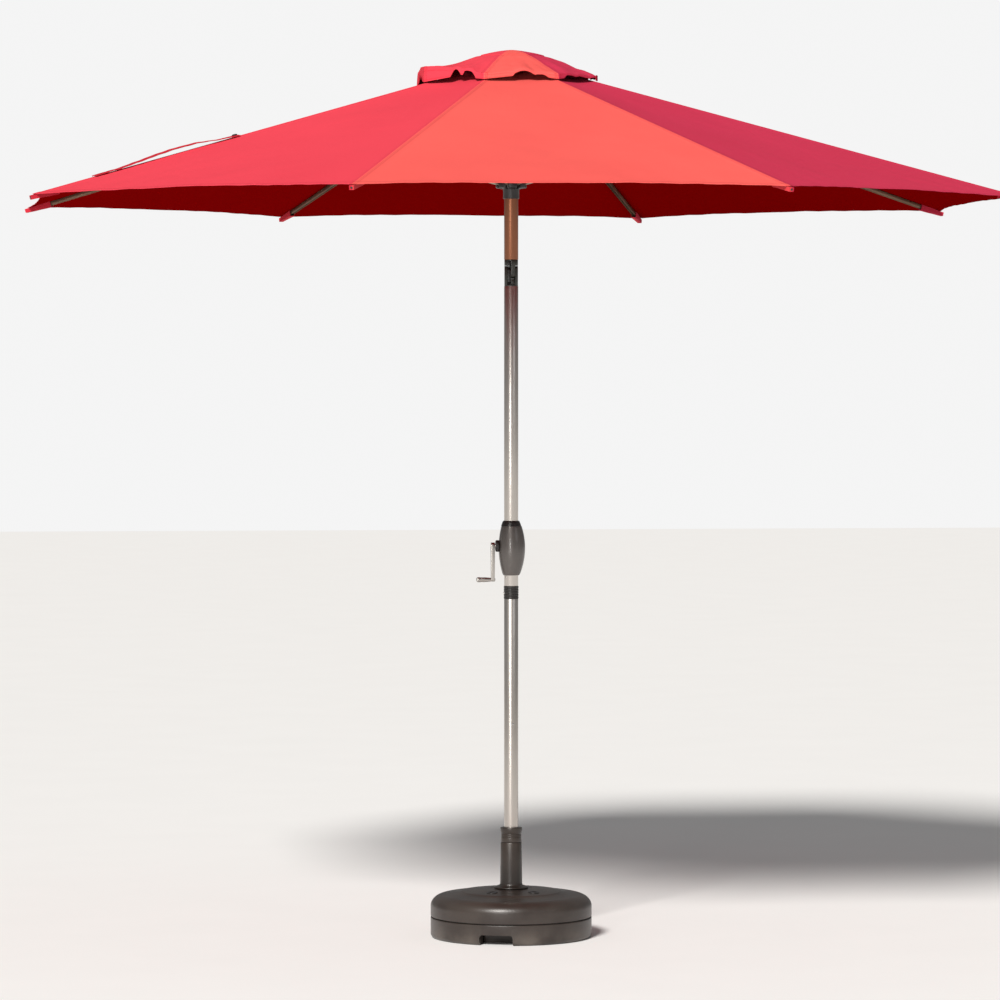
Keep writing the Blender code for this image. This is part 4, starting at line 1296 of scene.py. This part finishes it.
crown_cover = mapped_grid("crown_cover", COVER_COLUMNS, COVER_ROWS, cover_place, cover_chart)
edit(crown_cover)
bpy.ops.mesh.remove_doubles(threshold=5e-4)
bpy.ops.mesh.normals_make_consistent(inside=False)
leave(crown_cover)
fitted(crown_cover, "head", (canopy_red, canopy_inner), "canopy_cloth")
cloth_thickness(crown_cover)

# %% [markdown]
# A short ring of the same cloth hangs under the cover. It is out of sight while the umbrella is open, and
# it hides the hub when the petals have swung down.

# %% Cover lining
LINING_RADIUS, LINING_DROP, LINING_ROWS = 0.0800, 0.0270, 6
LINING_TOP = cap_height(LINING_RADIUS, 0) - 0.0050


def lining_place(column, row):
    bearing = math.tau * column / COVER_COLUMNS
    radius = LINING_RADIUS + 0.0006 * math.sin(math.pi * row / LINING_ROWS)
    return Vector((
        radius * math.cos(bearing), radius * math.sin(bearing), LINING_TOP - LINING_DROP * row / LINING_ROWS,
    ))


def lining_chart(column, row):
    return math.tau * LINING_RADIUS * column / COVER_COLUMNS, LINING_DROP * (1 - row / LINING_ROWS) + 0.001


lining = mapped_grid("cover_lining", COVER_COLUMNS, LINING_ROWS, lining_place, lining_chart)
edit(lining)
bpy.ops.mesh.remove_doubles(threshold=1e-5)
bpy.ops.mesh.normals_make_consistent(inside=False)
leave(lining)
fitted(lining, "head", webbing_red, "canopy_cloth")
cloth_thickness(lining, inner_slot=0)

# %% [markdown]
# ## The closing strap
#
# A strap lies on one ridge and goes round the folded canopy. It is webbing, doubled and stitched at its
# upper end, where a snap holds it to the cloth.

# %% Closing strap
STRAP_RIB = 5
STRAP_START, STRAP_END, STRAP_WIDTH = 0.8200, 1.2300, 0.0300
STRAP_COLUMNS, STRAP_ROWS = 12, 96
STRAP_CLEAR, STRAP_WAVE, STRAP_SLACK, STRAP_CURL = 0.0026, 0.0014, 0.0120, 0.0050


def strap_point(column, row):
    reach = STRAP_START + (STRAP_END - STRAP_START) * row / STRAP_ROWS
    across = STRAP_WIDTH * (column / STRAP_COLUMNS - 0.5)
    place = canopy_point(STRAP_RIB, reach, across)
    share = row / STRAP_ROWS
    wave = STRAP_WAVE * (1 + noise.noise(Vector((reach * 22, across * 8, 3.0))))
    slack = STRAP_SLACK * math.sin(math.pi * min(1.0, share / 0.85)) ** 2 * (1 - 0.6 * share)
    curl = STRAP_CURL * (2 * abs(across) / STRAP_WIDTH) ** 2 * math.sin(math.pi * share)
    return place + Vector((0, 0, STRAP_CLEAR + wave + slack + curl))


def strap_chart(column, row):
    edge = min(column, STRAP_COLUMNS - column) / STRAP_COLUMNS * STRAP_WIDTH
    return edge, (STRAP_ROWS - row) / STRAP_ROWS * (STRAP_END - STRAP_START)


strap = mapped_grid("closing_band", STRAP_COLUMNS, STRAP_ROWS, strap_point, strap_chart)
fitted(strap, f"rib_body_{STRAP_RIB}", webbing_red, "strap_cloth", "closing_strap")
cloth_thickness(strap, 0.0014, inner_slot=0)
folds_with(strap, STRAP_RIB)

snap_place = canopy_point(STRAP_RIB, STRAP_START + 0.006, 0) + Vector((0, 0, 0.0045))
snap_profile = [(0, 0), (0.0075, 0), (0.0075, 0.0010), (0.0055, 0.0024), (0.0020, 0.0028), (0, 0.0028)]
strap_snap = turned("strap_snap", snap_profile, 32, 0)
snap_turn = Matrix.Rotation(bearing_of(STRAP_RIB), 4, "Z") @ Matrix.Rotation(RIB_SLOPE, 4, "Y")
moved(strap_snap, Matrix.Translation(snap_place) @ snap_turn)
fitted(strap_snap, f"rib_body_{STRAP_RIB}", black_plastic, "dark_plastic")

# %% [markdown]
# ## Last: the json module

# The finished look has to stay in the box of the solids, apart from a little that cloth may stand proud.

# %% json
import json
